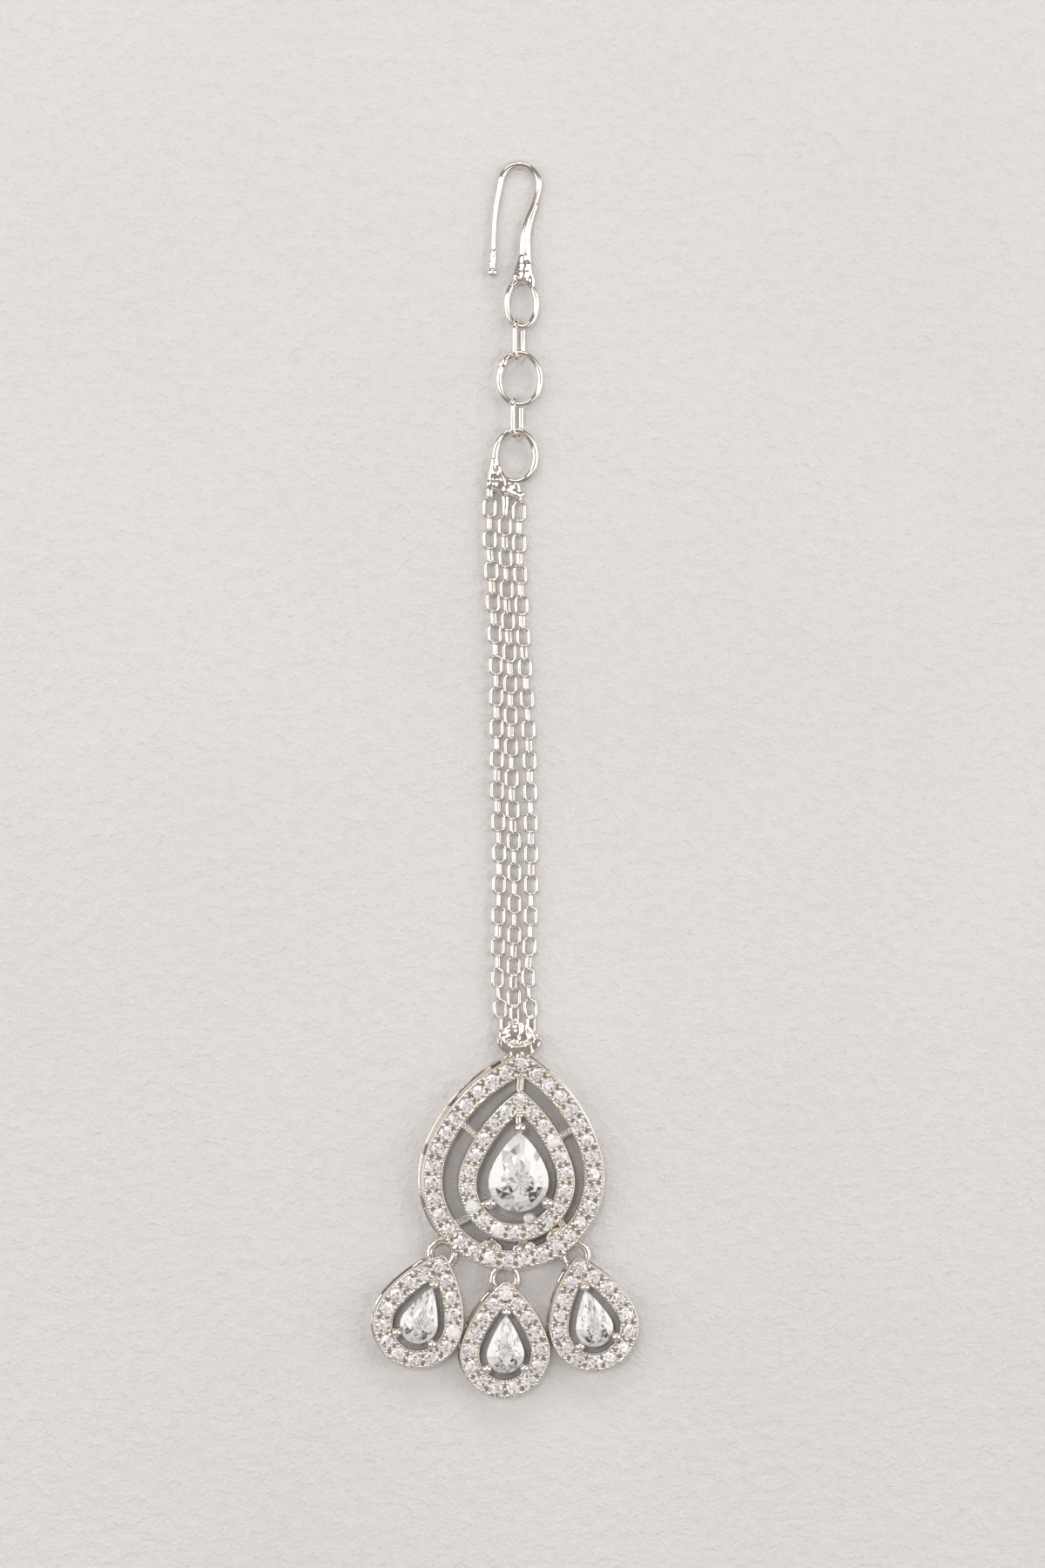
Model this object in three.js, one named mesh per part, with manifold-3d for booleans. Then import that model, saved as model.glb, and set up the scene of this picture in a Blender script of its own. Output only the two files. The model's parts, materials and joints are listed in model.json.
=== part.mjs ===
// A maang tikka laid flat: a hair hook, rings and links, a chain of three strands,
// a pear-shaped pave pendant and three pear-shaped pave drops on jump rings.
// Millimetres. The chain runs along Y, the stones look along +Z, the table is at z = 0.

import * as THREE from "three";
import { mergeVertices } from "three/addons/utils/BufferGeometryUtils.js";
import Module from "manifold-3d";

const wasm = await Module();
wasm.setup();

// Clearances
const RING_GAP = 0.12; // between a ring and the link hooked through it
const STONE_GAP = 0.12; // between a claw-set stone and its claws
const SOLDER_GAP = 0.12; // between the end of a strand and the solder that holds it
const BAIL_GAP = 0.22; // between a bail and the loop that it goes round
const LOOP_ROOM = 0.3; // round a loop, in the drop's wall that is cut away for it
const BURY = 0.25; // how far a soldered piece runs into the one that it is soldered to

// Hair hook: one wire bent over, doubled along the stem, with a ball on its free end
const HOOK_WIRE = 0.72;
const HOOK_STEM = 3.2; // straight stem above the solder
const HOOK_LEAN = 5.3; // height over which the wire leans out to the bend
const HOOK_SWAY = 1.96; // how far it leans out
const HOOK_BEND = 2.1; // radius of the bend at the wire's centre
const HOOK_TAIL = 9.1; // length of the free leg below the bend
const HOOK_SPREAD = 0.9; // how far the free leg opens outwards
const HOOK_BALL = 0.92; // diameter of the ball
const HOOK_BLOB = 1.75; // width of the solder at the foot of the stem
const HOOK_BLOB_RISE = 2.1; // height of that solder

// Rings and links between the hook and the chain
const HOOK_RING = { width: 3.9, length: 5.6, wire: 0.68 };
const EXTENDER_RING = { width: 5.0, length: 6.0, wire: 0.65 };
const HEAD_RING = { width: 5.0, length: 6.1, wire: 0.73 };
const LINK = { width: 2.72, length: 4.7, wire: 0.55 };
const LINK_ROLL = 58; // degrees that a link leans over on the table
const SEAM_LUMP = 1.0; // width of the solder lump on the extender ring
const RING_SIDES = 6;
const RING_STEPS = 16;

// Sideways places of the loose pieces, from the middle of the collar
const HEAD_RING_X = -0.28;
const LINK_LOWER_X = -0.12;
const EXTENDER_X = 0.16;
const LINK_UPPER_X = 0.08;
const HOOK_X = 0.36;

// Chain: three strands of cable chain, each drawn here as its envelope
const CHAIN_LINK = 1.58; // outer width of a chain link, and so the height of a strand
const STRAND_NEST = 0.2; // how far the staggered links of two strands lie into each other
const STRAND_GAP = 0.1; // between the envelopes of two strands
const STRAND_SIDES = 8;
const STRAND_STEPS = 24;
const HEAD_RING_Y = 61.5; // middle of the head ring above the collar
const STRAND_TOPS = { left: 57.33, middle: 55.4, right: 56.9 };
const STRAND_BOTTOMS = { left: 0.75, middle: 0.25, right: 0.75 };
// The route of the strands: where the middle one lies, and the extra room to its neighbours
const STRAND_ROUTE = [
  { y: 53.0, middle: -1.33, left: 0.12, right: 0.0 },
  { y: 46.4, middle: -1.1, left: 0.0, right: 0.0 },
  { y: 39.9, middle: -0.81, left: 0.0, right: 0.08 },
  { y: 33.2, middle: -0.72, left: 0.0, right: 0.37 },
  { y: 26.6, middle: -0.6, left: 0.07, right: 0.45 },
  { y: 20.0, middle: -0.38, left: 0.07, right: 0.32 },
  { y: 13.3, middle: -0.34, left: 0.2, right: 0.24 },
  { y: 6.6, middle: -0.43, left: 0.2, right: 0.05 },
  { y: 3.0, middle: -0.32, left: 0.0, right: 0.25 },
];

// Solder yoke between the head ring and the strands
const YOKE_THICK = 0.74; // radius of the solder at its middle
const YOKE_LEG = 0.5; // radius of its legs where they meet the strands
const YOKE_PRONG = 0.38; // radius of the middle prong's end

// Collar: a crescent cup soldered on the pendant's tip
const COLLAR = { width: 4.9, depth: 2.3, wall: 0.7, cup: 0.75, rise: 0.6 };
const COLLAR_BOTTOM = 0.1;
const COLLAR_TOP = 2.1;

// Pendant: two pear-shaped halos, outlined by a round bottom and two long side arcs
const OUTER_PEAR = { radius: 9.7, tip: 13.3, lean: 20, tipRound: 0.6, steps: [8, 5, 1] };
const OUTER_BAND = 2.15;
const INNER_PEAR = { radius: 6.19, tip: 9.97, lean: 20, tipRound: 0.5, steps: [7, 4, 1] };
const INNER_BAND = 1.9;
const PLATE_TOP = 2.5; // face of the outer halo
const PLATE_THICK = 0.65;
const INNER_TOP = 3.2; // face of the inner halo
const INNER_THICK = 1.7;
const PENDANT_TURN = -4.2; // degrees that the pendant is turned on the table
const PENDANT_TIP = { x: 0.3, y: -1.04 }; // its tip, from the middle of the collar
const INNER_SHIFT = { x: 0.28, y: -0.34, turn: 1.9 }; // the inner halo is set a little off
const BRIDGE_SHARES = [0, 0.155, 0.373, 0.627, 0.845]; // places along the halo, from its tip
const BRIDGE = { width: 0.7, bottom: 1.95, top: 2.45 };

// Gallery wall below each halo, pierced with a row of small windows
const WALL_INSET = 0.12;
const WALL = 0.5;
const WINDOW = { width: 1.2, pitch: 5.8, bottom: 0.5, top: 1.5 };

// Pave stones and claws
const PAVE = { diameter: 1.5, pitch: 1.83, table: 0.84, sunk: 0.12, rise: 0.3 };
const CENTRE_STONE = { radius: 3.2, tip: 5.3, lean: 20, tipRound: 0.25, steps: [5, 3, 0] };
const CENTRE_SHIFT = { x: 0.43, y: -0.13, turn: 3.2 };
const CENTRE_CUT = { table: 4.3, girdle: 3.35, culet: 1.5, thick: 0.14 };
const CENTRE_CLAW = { radius: 0.42, bead: 0.6, bottom: 2.0, bead_z: 3.8, arm: 0.5 };
const DROP_STONE = { radius: 2.0, tip: 4.25, lean: 20, tipRound: 0.2, steps: [5, 3, 0] };
const DROP_CUT = { table: 3.4, girdle: 2.75, culet: 1.35, thick: 0.12 };
const DROP_CLAW = { radius: 0.34, bead: 0.5, bottom: 1.9, bead_z: 3.05, arm: 0.45 };
const CLAW_ANGLES = [-36, 216]; // the two lower claws, degrees round the stone

// Drops: each halo hangs by a bail from a loop on the pendant's edge
const DROP_PEAR = { radius: 4.8, tip: 7.9, lean: 20, tipRound: 0.45, steps: [7, 4, 1] };
const DROP_BAND = 2.05;
const LOOP = { radius: 1.33, wire: 0.8, stand: 1.14, z: 1.2 };
const BAIL = { wire: 0.44, steps: 12, sides: 5 };
const DROP_GAP = 0.22; // between neighbouring drops
const DROP_TURNS = { left: -15.8, middle: 3.5, right: 17.9 }; // degrees from the pendant's axis

const SILVER = { color: 0xdcd8d2, roughness: 0.18, metalness: 1.0 };
const SOLDERED = { color: 0xcfc9c1, roughness: 0.3, metalness: 1.0 };
const ZIRCONIA = { color: 0xf1f1f6, roughness: 0.03, metalness: 0.0 };

const SIDES = ["left", "middle", "right"];
const rad = THREE.MathUtils.degToRad;

// A closed geometry as a solid body, for joining and cutting.
function solidOf(geometry) {
  const bare = geometry.clone();
  bare.deleteAttribute("normal");
  bare.deleteAttribute("uv");
  const merged = mergeVertices(bare, 1e-4);
  return new wasm.Manifold(
    new wasm.Mesh({
      numProp: 3,
      vertProperties: merged.attributes.position.array,
      triVerts: new Uint32Array(merged.index.array),
    }),
  );
}

function geometryOf(body) {
  const { vertProperties, triVerts } = body.getMesh();
  const geometry = new THREE.BufferGeometry();
  geometry.setAttribute("position", new THREE.BufferAttribute(vertProperties, 3));
  geometry.setIndex(new THREE.BufferAttribute(triVerts, 1));
  geometry.computeVertexNormals();
  return geometry;
}

function join(geometries) {
  return geometries.map(solidOf).reduce((all, one) => all.add(one));
}

function cut(body, cutters) {
  return cutters.map(solidOf).reduce((left, one) => left.subtract(one), body);
}

function mesh(name, geometry, look) {
  const made = new THREE.Mesh(geometry, new THREE.MeshStandardMaterial(look));
  made.name = name;
  return made;
}

// A wire bent into an oval and closed, lying in XY.
function ovalRing({ width, length, wire }, steps = RING_STEPS, sides = RING_SIDES) {
  const across = (width - wire) / 2;
  const along = (length - wire) / 2;
  const torus = new THREE.TorusGeometry(across, wire / 2, sides, steps);
  const at = torus.attributes.position;
  for (let i = 0; i < at.count; i++) {
    const turn = Math.atan2(at.getY(i), at.getX(i));
    const out = Math.hypot(at.getX(i), at.getY(i)) - across;
    const normal = new THREE.Vector2(along * Math.cos(turn), across * Math.sin(turn)).normalize();
    at.setX(i, across * Math.cos(turn) + out * normal.x);
    at.setY(i, along * Math.sin(turn) + out * normal.y);
  }
  return torus;
}

// A link with two straight sides and round ends: a ring whose halves are moved apart.
function straightLink({ width, length, wire }, steps = RING_STEPS, sides = RING_SIDES) {
  const torus = new THREE.TorusGeometry((width - wire) / 2, wire / 2, sides, steps);
  torus.rotateZ(Math.PI / steps);
  const at = torus.attributes.position;
  const apart = (length - width) / 2;
  for (let i = 0; i < at.count; i++) {
    at.setY(i, at.getY(i) + Math.sign(at.getY(i)) * apart);
  }
  return torus;
}

// A tapered round bar from one point to another.
function rod(from, to, fromRadius, toRadius, sides = 8) {
  const way = new THREE.Vector3().subVectors(to, from);
  const bar = new THREE.CylinderGeometry(toRadius, fromRadius, way.length(), sides);
  const turn = new THREE.Quaternion().setFromUnitVectors(
    new THREE.Vector3(0, 1, 0),
    way.clone().normalize(),
  );
  bar.applyQuaternion(turn);
  const middle = new THREE.Vector3().addVectors(from, to).multiplyScalar(0.5);
  return bar.translate(middle.x, middle.y, middle.z);
}

function ball(at, radius) {
  return new THREE.SphereGeometry(radius, 8, 5).rotateX(Math.PI / 2).translate(at.x, at.y, at.z);
}

// A flat bar between two points in plan.
function bar(from, to, width, bottom, top) {
  const way = new THREE.Vector2().subVectors(to, from);
  const box = new THREE.BoxGeometry(way.length(), width, top - bottom);
  box.rotateZ(way.angle());
  return box.translate((from.x + to.x) / 2, (from.y + to.y) / 2, (bottom + top) / 2);
}

function wireAlong(points, wire, steps, sides = 8) {
  const section = new THREE.Shape(
    Array.from({ length: sides }, (_, i) => {
      const turn = ((i + 0.5) * 2 * Math.PI) / sides;
      return new THREE.Vector2((wire / 2) * Math.cos(turn), (wire / 2) * Math.sin(turn));
    }),
  );
  const path = new THREE.CatmullRomCurve3(points);
  return new THREE.ExtrudeGeometry(section, { steps, extrudePath: path });
}

// The three arcs of the right half of a pear, from the bottom up to the tip, moved inwards.
function pearArcs(pear, inset) {
  const lean = rad(pear.lean);
  const reach =
    (pear.tip ** 2 - pear.radius ** 2) / (2 * (pear.radius - pear.tip * Math.sin(lean)));
  const side = pear.radius + reach - inset;
  const x = -reach * Math.cos(lean);
  const y = -reach * Math.sin(lean);
  const round = Math.max(pear.tipRound - inset, pear.tipRound / 4);
  const tipTurn = Math.acos(-x / (side - round));
  const tipY = y + (side - round) * Math.sin(tipTurn);
  return [
    { x: 0, y: 0, r: pear.radius - inset, from: -Math.PI / 2, to: lean },
    { x, y, r: side, from: lean, to: tipTurn },
    { x: 0, y: tipY, r: round, from: tipTurn, to: Math.PI / 2 },
  ];
}

function onArc(arc, share) {
  const turn = arc.from + (arc.to - arc.from) * share;
  return new THREE.Vector2(arc.x + arc.r * Math.cos(turn), arc.y + arc.r * Math.sin(turn));
}

// The height of a pear's tip above the centre of its round bottom.
function pearTip(pear, inset = 0) {
  const [, , tip] = pearArcs(pear, inset);
  return tip.y + tip.r;
}

function pearOutline(pear, inset = 0) {
  const right = pearArcs(pear, inset).flatMap((arc, i) =>
    Array.from({ length: pear.steps[i] }, (_, k) => onArc(arc, k / pear.steps[i])),
  );
  right.push(new THREE.Vector2(0, pearTip(pear, inset)));
  const left = right.slice(1, -1).reverse();
  return [...right, ...left.map((p) => new THREE.Vector2(-p.x, p.y))];
}

function arcLength(arc) {
  return arc.r * (arc.to - arc.from);
}

function pearLength(pear, inset) {
  return 2 * pearArcs(pear, inset).reduce((sum, arc) => sum + arcLength(arc), 0);
}

// The point a share of the way round a pear, clockwise from its tip, with its outward turn.
function alongPear(pear, inset, share) {
  const half = pearLength(pear, inset) / 2;
  const gone = share * 2 * half;
  const mirrored = gone > half;
  let rest = Math.abs(half - gone);
  const arcs = pearArcs(pear, inset);
  const arc = arcs.find((one) => {
    const here = rest <= arcLength(one) + 1e-9;
    if (!here) rest -= arcLength(one);
    return here;
  });
  const turn = arc.from + rest / arc.r;
  const x = arc.x + arc.r * Math.cos(turn);
  const y = arc.y + arc.r * Math.sin(turn);
  return mirrored ? { x: -x, y, turn: Math.PI - turn } : { x, y, turn };
}

// A pear-shaped band between two insets of the outline.
function pearBand(pear, outside, inside, bottom, top) {
  const shape = new THREE.Shape(pearOutline(pear, outside));
  shape.holes.push(new THREE.Path(pearOutline(pear, inside)));
  const band = new THREE.ExtrudeGeometry(shape, { depth: top - bottom, bevelEnabled: false });
  return band.translate(0, 0, bottom);
}

function galleryWall(pear) {
  const top = PLATE_TOP - PLATE_THICK / 2;
  return pearBand(pear, WALL_INSET, WALL_INSET + WALL, 0, top);
}

// The windows in a gallery wall, left out where a loop or the tip needs the metal.
function galleryWindows(pear, closed) {
  const inset = WALL_INSET + WALL / 2;
  const count = Math.round(pearLength(pear, inset) / WINDOW.pitch);
  return Array.from({ length: count }, (_, i) => alongPear(pear, inset, (i + 0.5) / count))
    .filter((p) => closed.every((c) => Math.hypot(p.x - c.x, p.y - c.y) > c.room))
    .map((p) => {
      const box = new THREE.BoxGeometry(3 * WALL, WINDOW.width, WINDOW.top - WINDOW.bottom);
      return box.rotateZ(p.turn).translate(p.x, p.y, (WINDOW.top + WINDOW.bottom) / 2);
    });
}

// Round stones set in a row along the middle of a band, each an eight-sided crown.
function paveRow(pear, band, face) {
  const count = Math.round(pearLength(pear, band / 2) / PAVE.pitch);
  const height = PAVE.sunk + PAVE.rise;
  return Array.from({ length: count }, (_, i) => {
    const p = alongPear(pear, band / 2, i / count);
    const stone = new THREE.CylinderGeometry(PAVE.table / 2, PAVE.diameter / 2, height, 8);
    stone.rotateX(Math.PI / 2).rotateZ(p.turn + Math.PI / 8);
    return stone.translate(p.x, p.y, face - PAVE.sunk + height / 2);
  });
}

// A claw outside the stone's edge, on an arm that runs into the halo round it.
function claw(turn, stoneEdge, haloEdge, { radius, bead, bottom, bead_z, arm }) {
  const out = new THREE.Vector2(Math.cos(turn), Math.sin(turn));
  const at = out.clone().multiplyScalar(stoneEdge + STONE_GAP + radius);
  const root = out.clone().multiplyScalar(haloEdge);
  return [
    rod(new THREE.Vector3(at.x, at.y, bottom), new THREE.Vector3(at.x, at.y, bead_z), radius, radius),
    ball(new THREE.Vector3(at.x, at.y, bead_z), bead),
    bar(at, root, 2 * radius, bottom, bottom + arm),
  ];
}

// Three claws: one at the stone's tip and two beside its round end.
function claws(stone, haloPear, band, size) {
  const side = haloPear.radius - band / 2;
  const top = pearTip(haloPear, band) + band / 2;
  return [
    ...claw(Math.PI / 2, pearTip(stone), top, size),
    ...CLAW_ANGLES.flatMap((angle) => claw(rad(angle), stone.radius, side, size)),
  ];
}

// A pear-cut stone: a table, a crown of facets that alternate, a thin girdle, a pointed pavilion.
function cutStone(pear, { table, girdle, culet, thick }) {
  const edge = pearOutline(pear);
  const tableScale = 0.58;
  const waistScale = 0.55;
  const waist = girdle - (girdle - culet) * 0.5;
  const points = [];
  const ring = (z, scale, step) => {
    const start = points.length;
    const chosen = edge.filter((_, i) => i % step === 0);
    chosen.forEach((p) => points.push(new THREE.Vector3(p.x * scale, p.y * scale, z)));
    return chosen.map((_, i) => start + i);
  };
  const tableRing = ring(table, tableScale, 2);
  const upper = ring(girdle + thick / 2, 1, 1);
  const lower = ring(girdle - thick / 2, 1, 1);
  const waistRing = ring(waist, waistScale, 2);
  const faces = [];
  const half = tableRing.length;
  const full = upper.length;
  for (let i = 0; i < half; i++) {
    const next = (i + 1) % half;
    const [a, b, c] = [2 * i, (2 * i + 1) % full, (2 * i + 2) % full];
    faces.push([tableRing[i], upper[a], upper[b]]);
    faces.push([tableRing[i], upper[b], tableRing[next]]);
    faces.push([tableRing[next], upper[b], upper[c]]);
    faces.push([waistRing[i], lower[b], lower[a]]);
    faces.push([waistRing[i], waistRing[next], lower[b]]);
    faces.push([waistRing[next], lower[c], lower[b]]);
  }
  for (let i = 0; i < full; i++) {
    const next = (i + 1) % full;
    faces.push([upper[i], lower[i], lower[next]]);
    faces.push([upper[i], lower[next], upper[next]]);
  }
  points.push(new THREE.Vector3(0, 0, table), new THREE.Vector3(0, 0, culet));
  for (let i = 0; i < half; i++) {
    const next = (i + 1) % half;
    faces.push([points.length - 2, tableRing[i], tableRing[next]]);
    faces.push([points.length - 1, waistRing[next], waistRing[i]]);
  }
  const stone = new THREE.BufferGeometry().setFromPoints(points);
  stone.setIndex(faces.flat());
  return stone;
}

function clawStone(name, pear, cutting) {
  const stone = cutStone(pear, cutting).toNonIndexed();
  stone.computeVertexNormals();
  return mesh(name, stone, ZIRCONIA);
}

const chainZ = CHAIN_LINK / 2;
const linkReach = (LINK.width - LINK.wire) / 2;
const linkZ = linkReach * Math.sin(rad(LINK_ROLL)) + LINK.wire / 2;

// From a ring's middle to the middle of the link hooked through its end.
function ringToLink(ring) {
  const ringEnd = (ring.length - ring.wire) / 2;
  const linkEnd = (LINK.length - LINK.wire) / 2;
  return ringEnd + linkEnd - (ring.wire + LINK.wire) / 2 - RING_GAP;
}

const linkLowerY = HEAD_RING_Y + ringToLink(HEAD_RING);
const extenderY = linkLowerY + ringToLink(EXTENDER_RING);
const linkUpperY = extenderY + ringToLink(EXTENDER_RING);
const hookRingY = linkUpperY + ringToLink(HOOK_RING);

// The hook with its ring and the solder between them. It slopes down to lie on the table.
function hairHook() {
  const foot = HOOK_RING.length / 2 + HOOK_BLOB_RISE / 2;
  const shoulder = foot + HOOK_STEM;
  const bendY = shoulder + HOOK_LEAN;
  const bendX = HOOK_SWAY - HOOK_BEND;
  const flat = (x, y) => new THREE.Vector3(x, y, 0);
  const leanOut = [
    flat(0, foot),
    flat(0.05 * HOOK_SWAY, foot + HOOK_STEM / 2),
    flat(0.12 * HOOK_SWAY, shoulder),
    flat(0.36 * HOOK_SWAY, shoulder + 0.32 * HOOK_LEAN),
    flat(0.72 * HOOK_SWAY, shoulder + 0.62 * HOOK_LEAN),
  ];
  const bend = [0, 30, 60, 90, 120, 150, 180].map((angle) =>
    flat(bendX + HOOK_BEND * Math.cos(rad(angle)), bendY + HOOK_BEND * Math.sin(rad(angle))),
  );
  const tailX = bendX - HOOK_BEND;
  const tip = flat(tailX - HOOK_SPREAD, bendY - HOOK_TAIL);
  const tail = [flat(tailX - 0.65 * HOOK_SPREAD, bendY - 0.36 * HOOK_TAIL), tip];
  const twin = leanOut.map((p, i) => flat(p.x - HOOK_WIRE * (0.8 - 0.16 * i), p.y));
  const blob = new THREE.SphereGeometry(1, 10, 6);
  blob.scale(HOOK_BLOB / 2, HOOK_BLOB_RISE / 2, HOOK_WIRE * 0.8);
  const body = join([
    ovalRing(HOOK_RING),
    wireAlong([...leanOut, ...bend, ...tail], HOOK_WIRE, 34),
    wireAlong([...twin, bend[0]], HOOK_WIRE, 9, 6),
    blob.translate(-HOOK_WIRE * 0.3, foot - BURY, 0),
    ball(tip, HOOK_BALL / 2),
  ]);
  const geometry = geometryOf(body);
  const lowEnd = -(HOOK_RING.length - HOOK_RING.wire) / 2;
  const reach = bendY + HOOK_BEND - lowEnd;
  geometry.translate(0, -lowEnd, 0);
  geometry.rotateX(-Math.asin((linkZ - HOOK_WIRE / 2) / reach));
  return mesh("hook", geometry.translate(0, lowEnd, 0), SILVER);
}

// The extender ring, with the lump of solder where its wire was closed.
function extenderRing() {
  const lump = new THREE.Vector3(
    -0.36 * EXTENDER_RING.width,
    0.27 * EXTENDER_RING.length,
    0,
  );
  const body = join([ovalRing(EXTENDER_RING), ball(lump, SEAM_LUMP / 2)]);
  return mesh("extender_ring", geometryOf(body), SILVER);
}

function rolledLink(name) {
  return mesh(name, straightLink(LINK).rotateY(rad(LINK_ROLL)), SILVER);
}

// The x of a strand at a row of the route.
function strandX(row, side) {
  const step = CHAIN_LINK - STRAND_NEST + STRAND_GAP;
  if (side === "left") return row.middle - step - row.left;
  if (side === "right") return row.middle + step + row.right;
  return row.middle;
}

function strandPoints(side) {
  const rows = STRAND_ROUTE;
  const first = rows[0];
  const last = rows[rows.length - 1];
  return [
    new THREE.Vector3(strandX(first, side), STRAND_TOPS[side], chainZ),
    ...rows.map((row) => new THREE.Vector3(strandX(row, side), row.y, chainZ)),
    new THREE.Vector3(strandX(last, side), STRAND_BOTTOMS[side], chainZ),
  ];
}

// A strand of the chain as its envelope, as tall as a link is wide.
function strand(side) {
  const tube = wireAlong(strandPoints(side), 1, STRAND_STEPS, STRAND_SIDES);
  const path = new THREE.CatmullRomCurve3(strandPoints(side));
  const places = path.getSpacedPoints(STRAND_STEPS);
  const at = tube.attributes.position;
  const half = Math.cos(Math.PI / STRAND_SIDES) / 2;
  for (let i = 0; i < at.count; i++) {
    const near = places.reduce((best, p) =>
      Math.abs(p.y - at.getY(i)) < Math.abs(best.y - at.getY(i)) ? p : best,
    );
    const wide = (at.getX(i) - near.x) / (2 * half);
    const tall = (at.getZ(i) - near.z) / (2 * half);
    at.setX(i, near.x + wide * (CHAIN_LINK - STRAND_NEST));
    at.setZ(i, near.z + tall * CHAIN_LINK);
  }
  return mesh("chain_" + side, tube, SILVER);
}

// The head ring, and the rough three-legged solder that gathers the strands on it.
function chainHead() {
  const ring = ovalRing(HEAD_RING);
  const ringEnd = (HEAD_RING.length - HEAD_RING.wire) / 2;
  ring.translate(0, -ringEnd, 0);
  ring.rotateX(Math.asin((linkZ - chainZ) / (2 * ringEnd)));
  ring.translate(HEAD_RING_X, HEAD_RING_Y + ringEnd, linkZ);
  const at = (x, y) => new THREE.Vector3(x, y, chainZ);
  const end = (side) => at(strandX(STRAND_ROUTE[0], side), STRAND_TOPS[side] + SOLDER_GAP);
  const above = (side, rise) => end(side).add(new THREE.Vector3(0, rise, 0));
  const ringLeft = at(HEAD_RING_X - (HEAD_RING.width - HEAD_RING.wire) / 2, HEAD_RING_Y);
  const ringFoot = at(HEAD_RING_X - HEAD_RING.width / 4, HEAD_RING_Y - ringEnd + BURY);
  const knot = at(end("middle").x, end("left").y + YOKE_THICK);
  const leftKnee = above("left", 2 * YOKE_LEG);
  const rightKnee = above("right", YOKE_LEG);
  const body = join([
    ring,
    rod(ringLeft.clone().setZ(linkZ - BURY), leftKnee, YOKE_LEG * 0.8, YOKE_LEG),
    rod(leftKnee, end("left"), YOKE_LEG, YOKE_LEG),
    rod(ringLeft.clone().lerp(end("left"), 0.35), knot, YOKE_LEG, YOKE_THICK),
    rod(ringFoot, knot, YOKE_LEG, YOKE_THICK),
    ball(knot, YOKE_THICK),
    rod(knot, rightKnee, YOKE_THICK, YOKE_LEG),
    ball(rightKnee, YOKE_LEG),
    rod(rightKnee, end("right"), YOKE_LEG, YOKE_LEG),
    rod(knot, end("middle"), YOKE_THICK * 0.8, YOKE_PRONG),
  ]);
  return mesh("chain_head", geometryOf(body), SOLDERED);
}

// The crescent cup at the pendant's tip, open towards the chain.
function collar() {
  const crescent = new THREE.Shape();
  const half = COLLAR.width / 2;
  crescent.absellipse(0, COLLAR.rise, half, COLLAR.depth, Math.PI, 2 * Math.PI, false);
  crescent.absellipse(0, COLLAR.rise, half - COLLAR.wall, COLLAR.cup, 0, Math.PI, true);
  const options = { depth: COLLAR_TOP - COLLAR_BOTTOM, bevelEnabled: false, curveSegments: 10 };
  return new THREE.ExtrudeGeometry(crescent, options).translate(0, 0, COLLAR_BOTTOM);
}

// Where a drop's loop is, from the centre of the pendant's round bottom. The side loops sit
// where the round ends of their drops lie a gap away from the middle drop's.
function loopPlace(side) {
  const reach = OUTER_PEAR.radius + LOOP.stand;
  if (side === "middle") return new THREE.Vector2(0, -reach);
  const hang = pearTip(DROP_PEAR);
  const own = rad(DROP_TURNS[side]);
  const next = rad(DROP_TURNS.middle);
  const across = Math.sign(own) * hang * (Math.sin(own) - Math.sin(next));
  const down = reach + hang * (Math.cos(next) - Math.cos(own));
  const apart = 2 * DROP_PEAR.radius + DROP_GAP;
  const share = (across ** 2 + down ** 2 + reach ** 2 - apart ** 2) / (2 * reach);
  const turn = Math.atan2(-across, down) + Math.acos(share / Math.hypot(across, down));
  return new THREE.Vector2(Math.sign(own) * reach * Math.sin(turn), -reach * Math.cos(turn));
}

function pendantFrame() {
  const inner = [
    pearBand(INNER_PEAR, 0, INNER_BAND, INNER_TOP - INNER_THICK, INNER_TOP),
    ...paveRow(INNER_PEAR, INNER_BAND, INNER_TOP),
  ];
  const setting = claws(CENTRE_STONE, INNER_PEAR, INNER_BAND, CENTRE_CLAW);
  placeAll(inner, INNER_SHIFT);
  placeAll(setting, CENTRE_SHIFT);
  const bridges = BRIDGE_SHARES.map((share) => {
    const outside = alongPear(OUTER_PEAR, OUTER_BAND / 2, share);
    const inside = placed(alongPear(INNER_PEAR, INNER_BAND / 2, share), INNER_SHIFT);
    return bar(inside, new THREE.Vector2(outside.x, outside.y), BRIDGE.width, BRIDGE.bottom, BRIDGE.top);
  });
  const loops = SIDES.map((side) => {
    const at = loopPlace(side);
    const loop = new THREE.TorusGeometry(LOOP.radius, LOOP.wire / 2, RING_SIDES, RING_STEPS);
    return loop.translate(at.x, at.y, LOOP.z);
  });
  const tip = { x: 0, y: pearTip(OUTER_PEAR), room: COLLAR.depth };
  const closed = SIDES.map((side) => {
    const { x, y } = loopPlace(side);
    return { x, y, room: LOOP.radius + LOOP.wire / 2 + WINDOW.width };
  });
  const wall = cut(solidOf(galleryWall(OUTER_PEAR)), galleryWindows(OUTER_PEAR, [tip, ...closed]));
  const cup = collar().translate(-PENDANT_TIP.x, -PENDANT_TIP.y, 0);
  cup.rotateZ(rad(-PENDANT_TURN)).translate(0, tip.y, 0);
  const body = join([
    pearBand(OUTER_PEAR, 0, OUTER_BAND, PLATE_TOP - PLATE_THICK, PLATE_TOP),
    ...paveRow(OUTER_PEAR, OUTER_BAND, PLATE_TOP),
    ...inner,
    ...setting,
    ...bridges,
    ...loops,
    cup,
  ]).add(wall);
  return mesh("pendant_frame", geometryOf(body), SILVER);
}

function placed({ x, y }, shift) {
  const at = new THREE.Vector2(x, y).rotateAround(new THREE.Vector2(), rad(shift.turn));
  return at.add(new THREE.Vector2(shift.x, shift.y));
}

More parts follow.
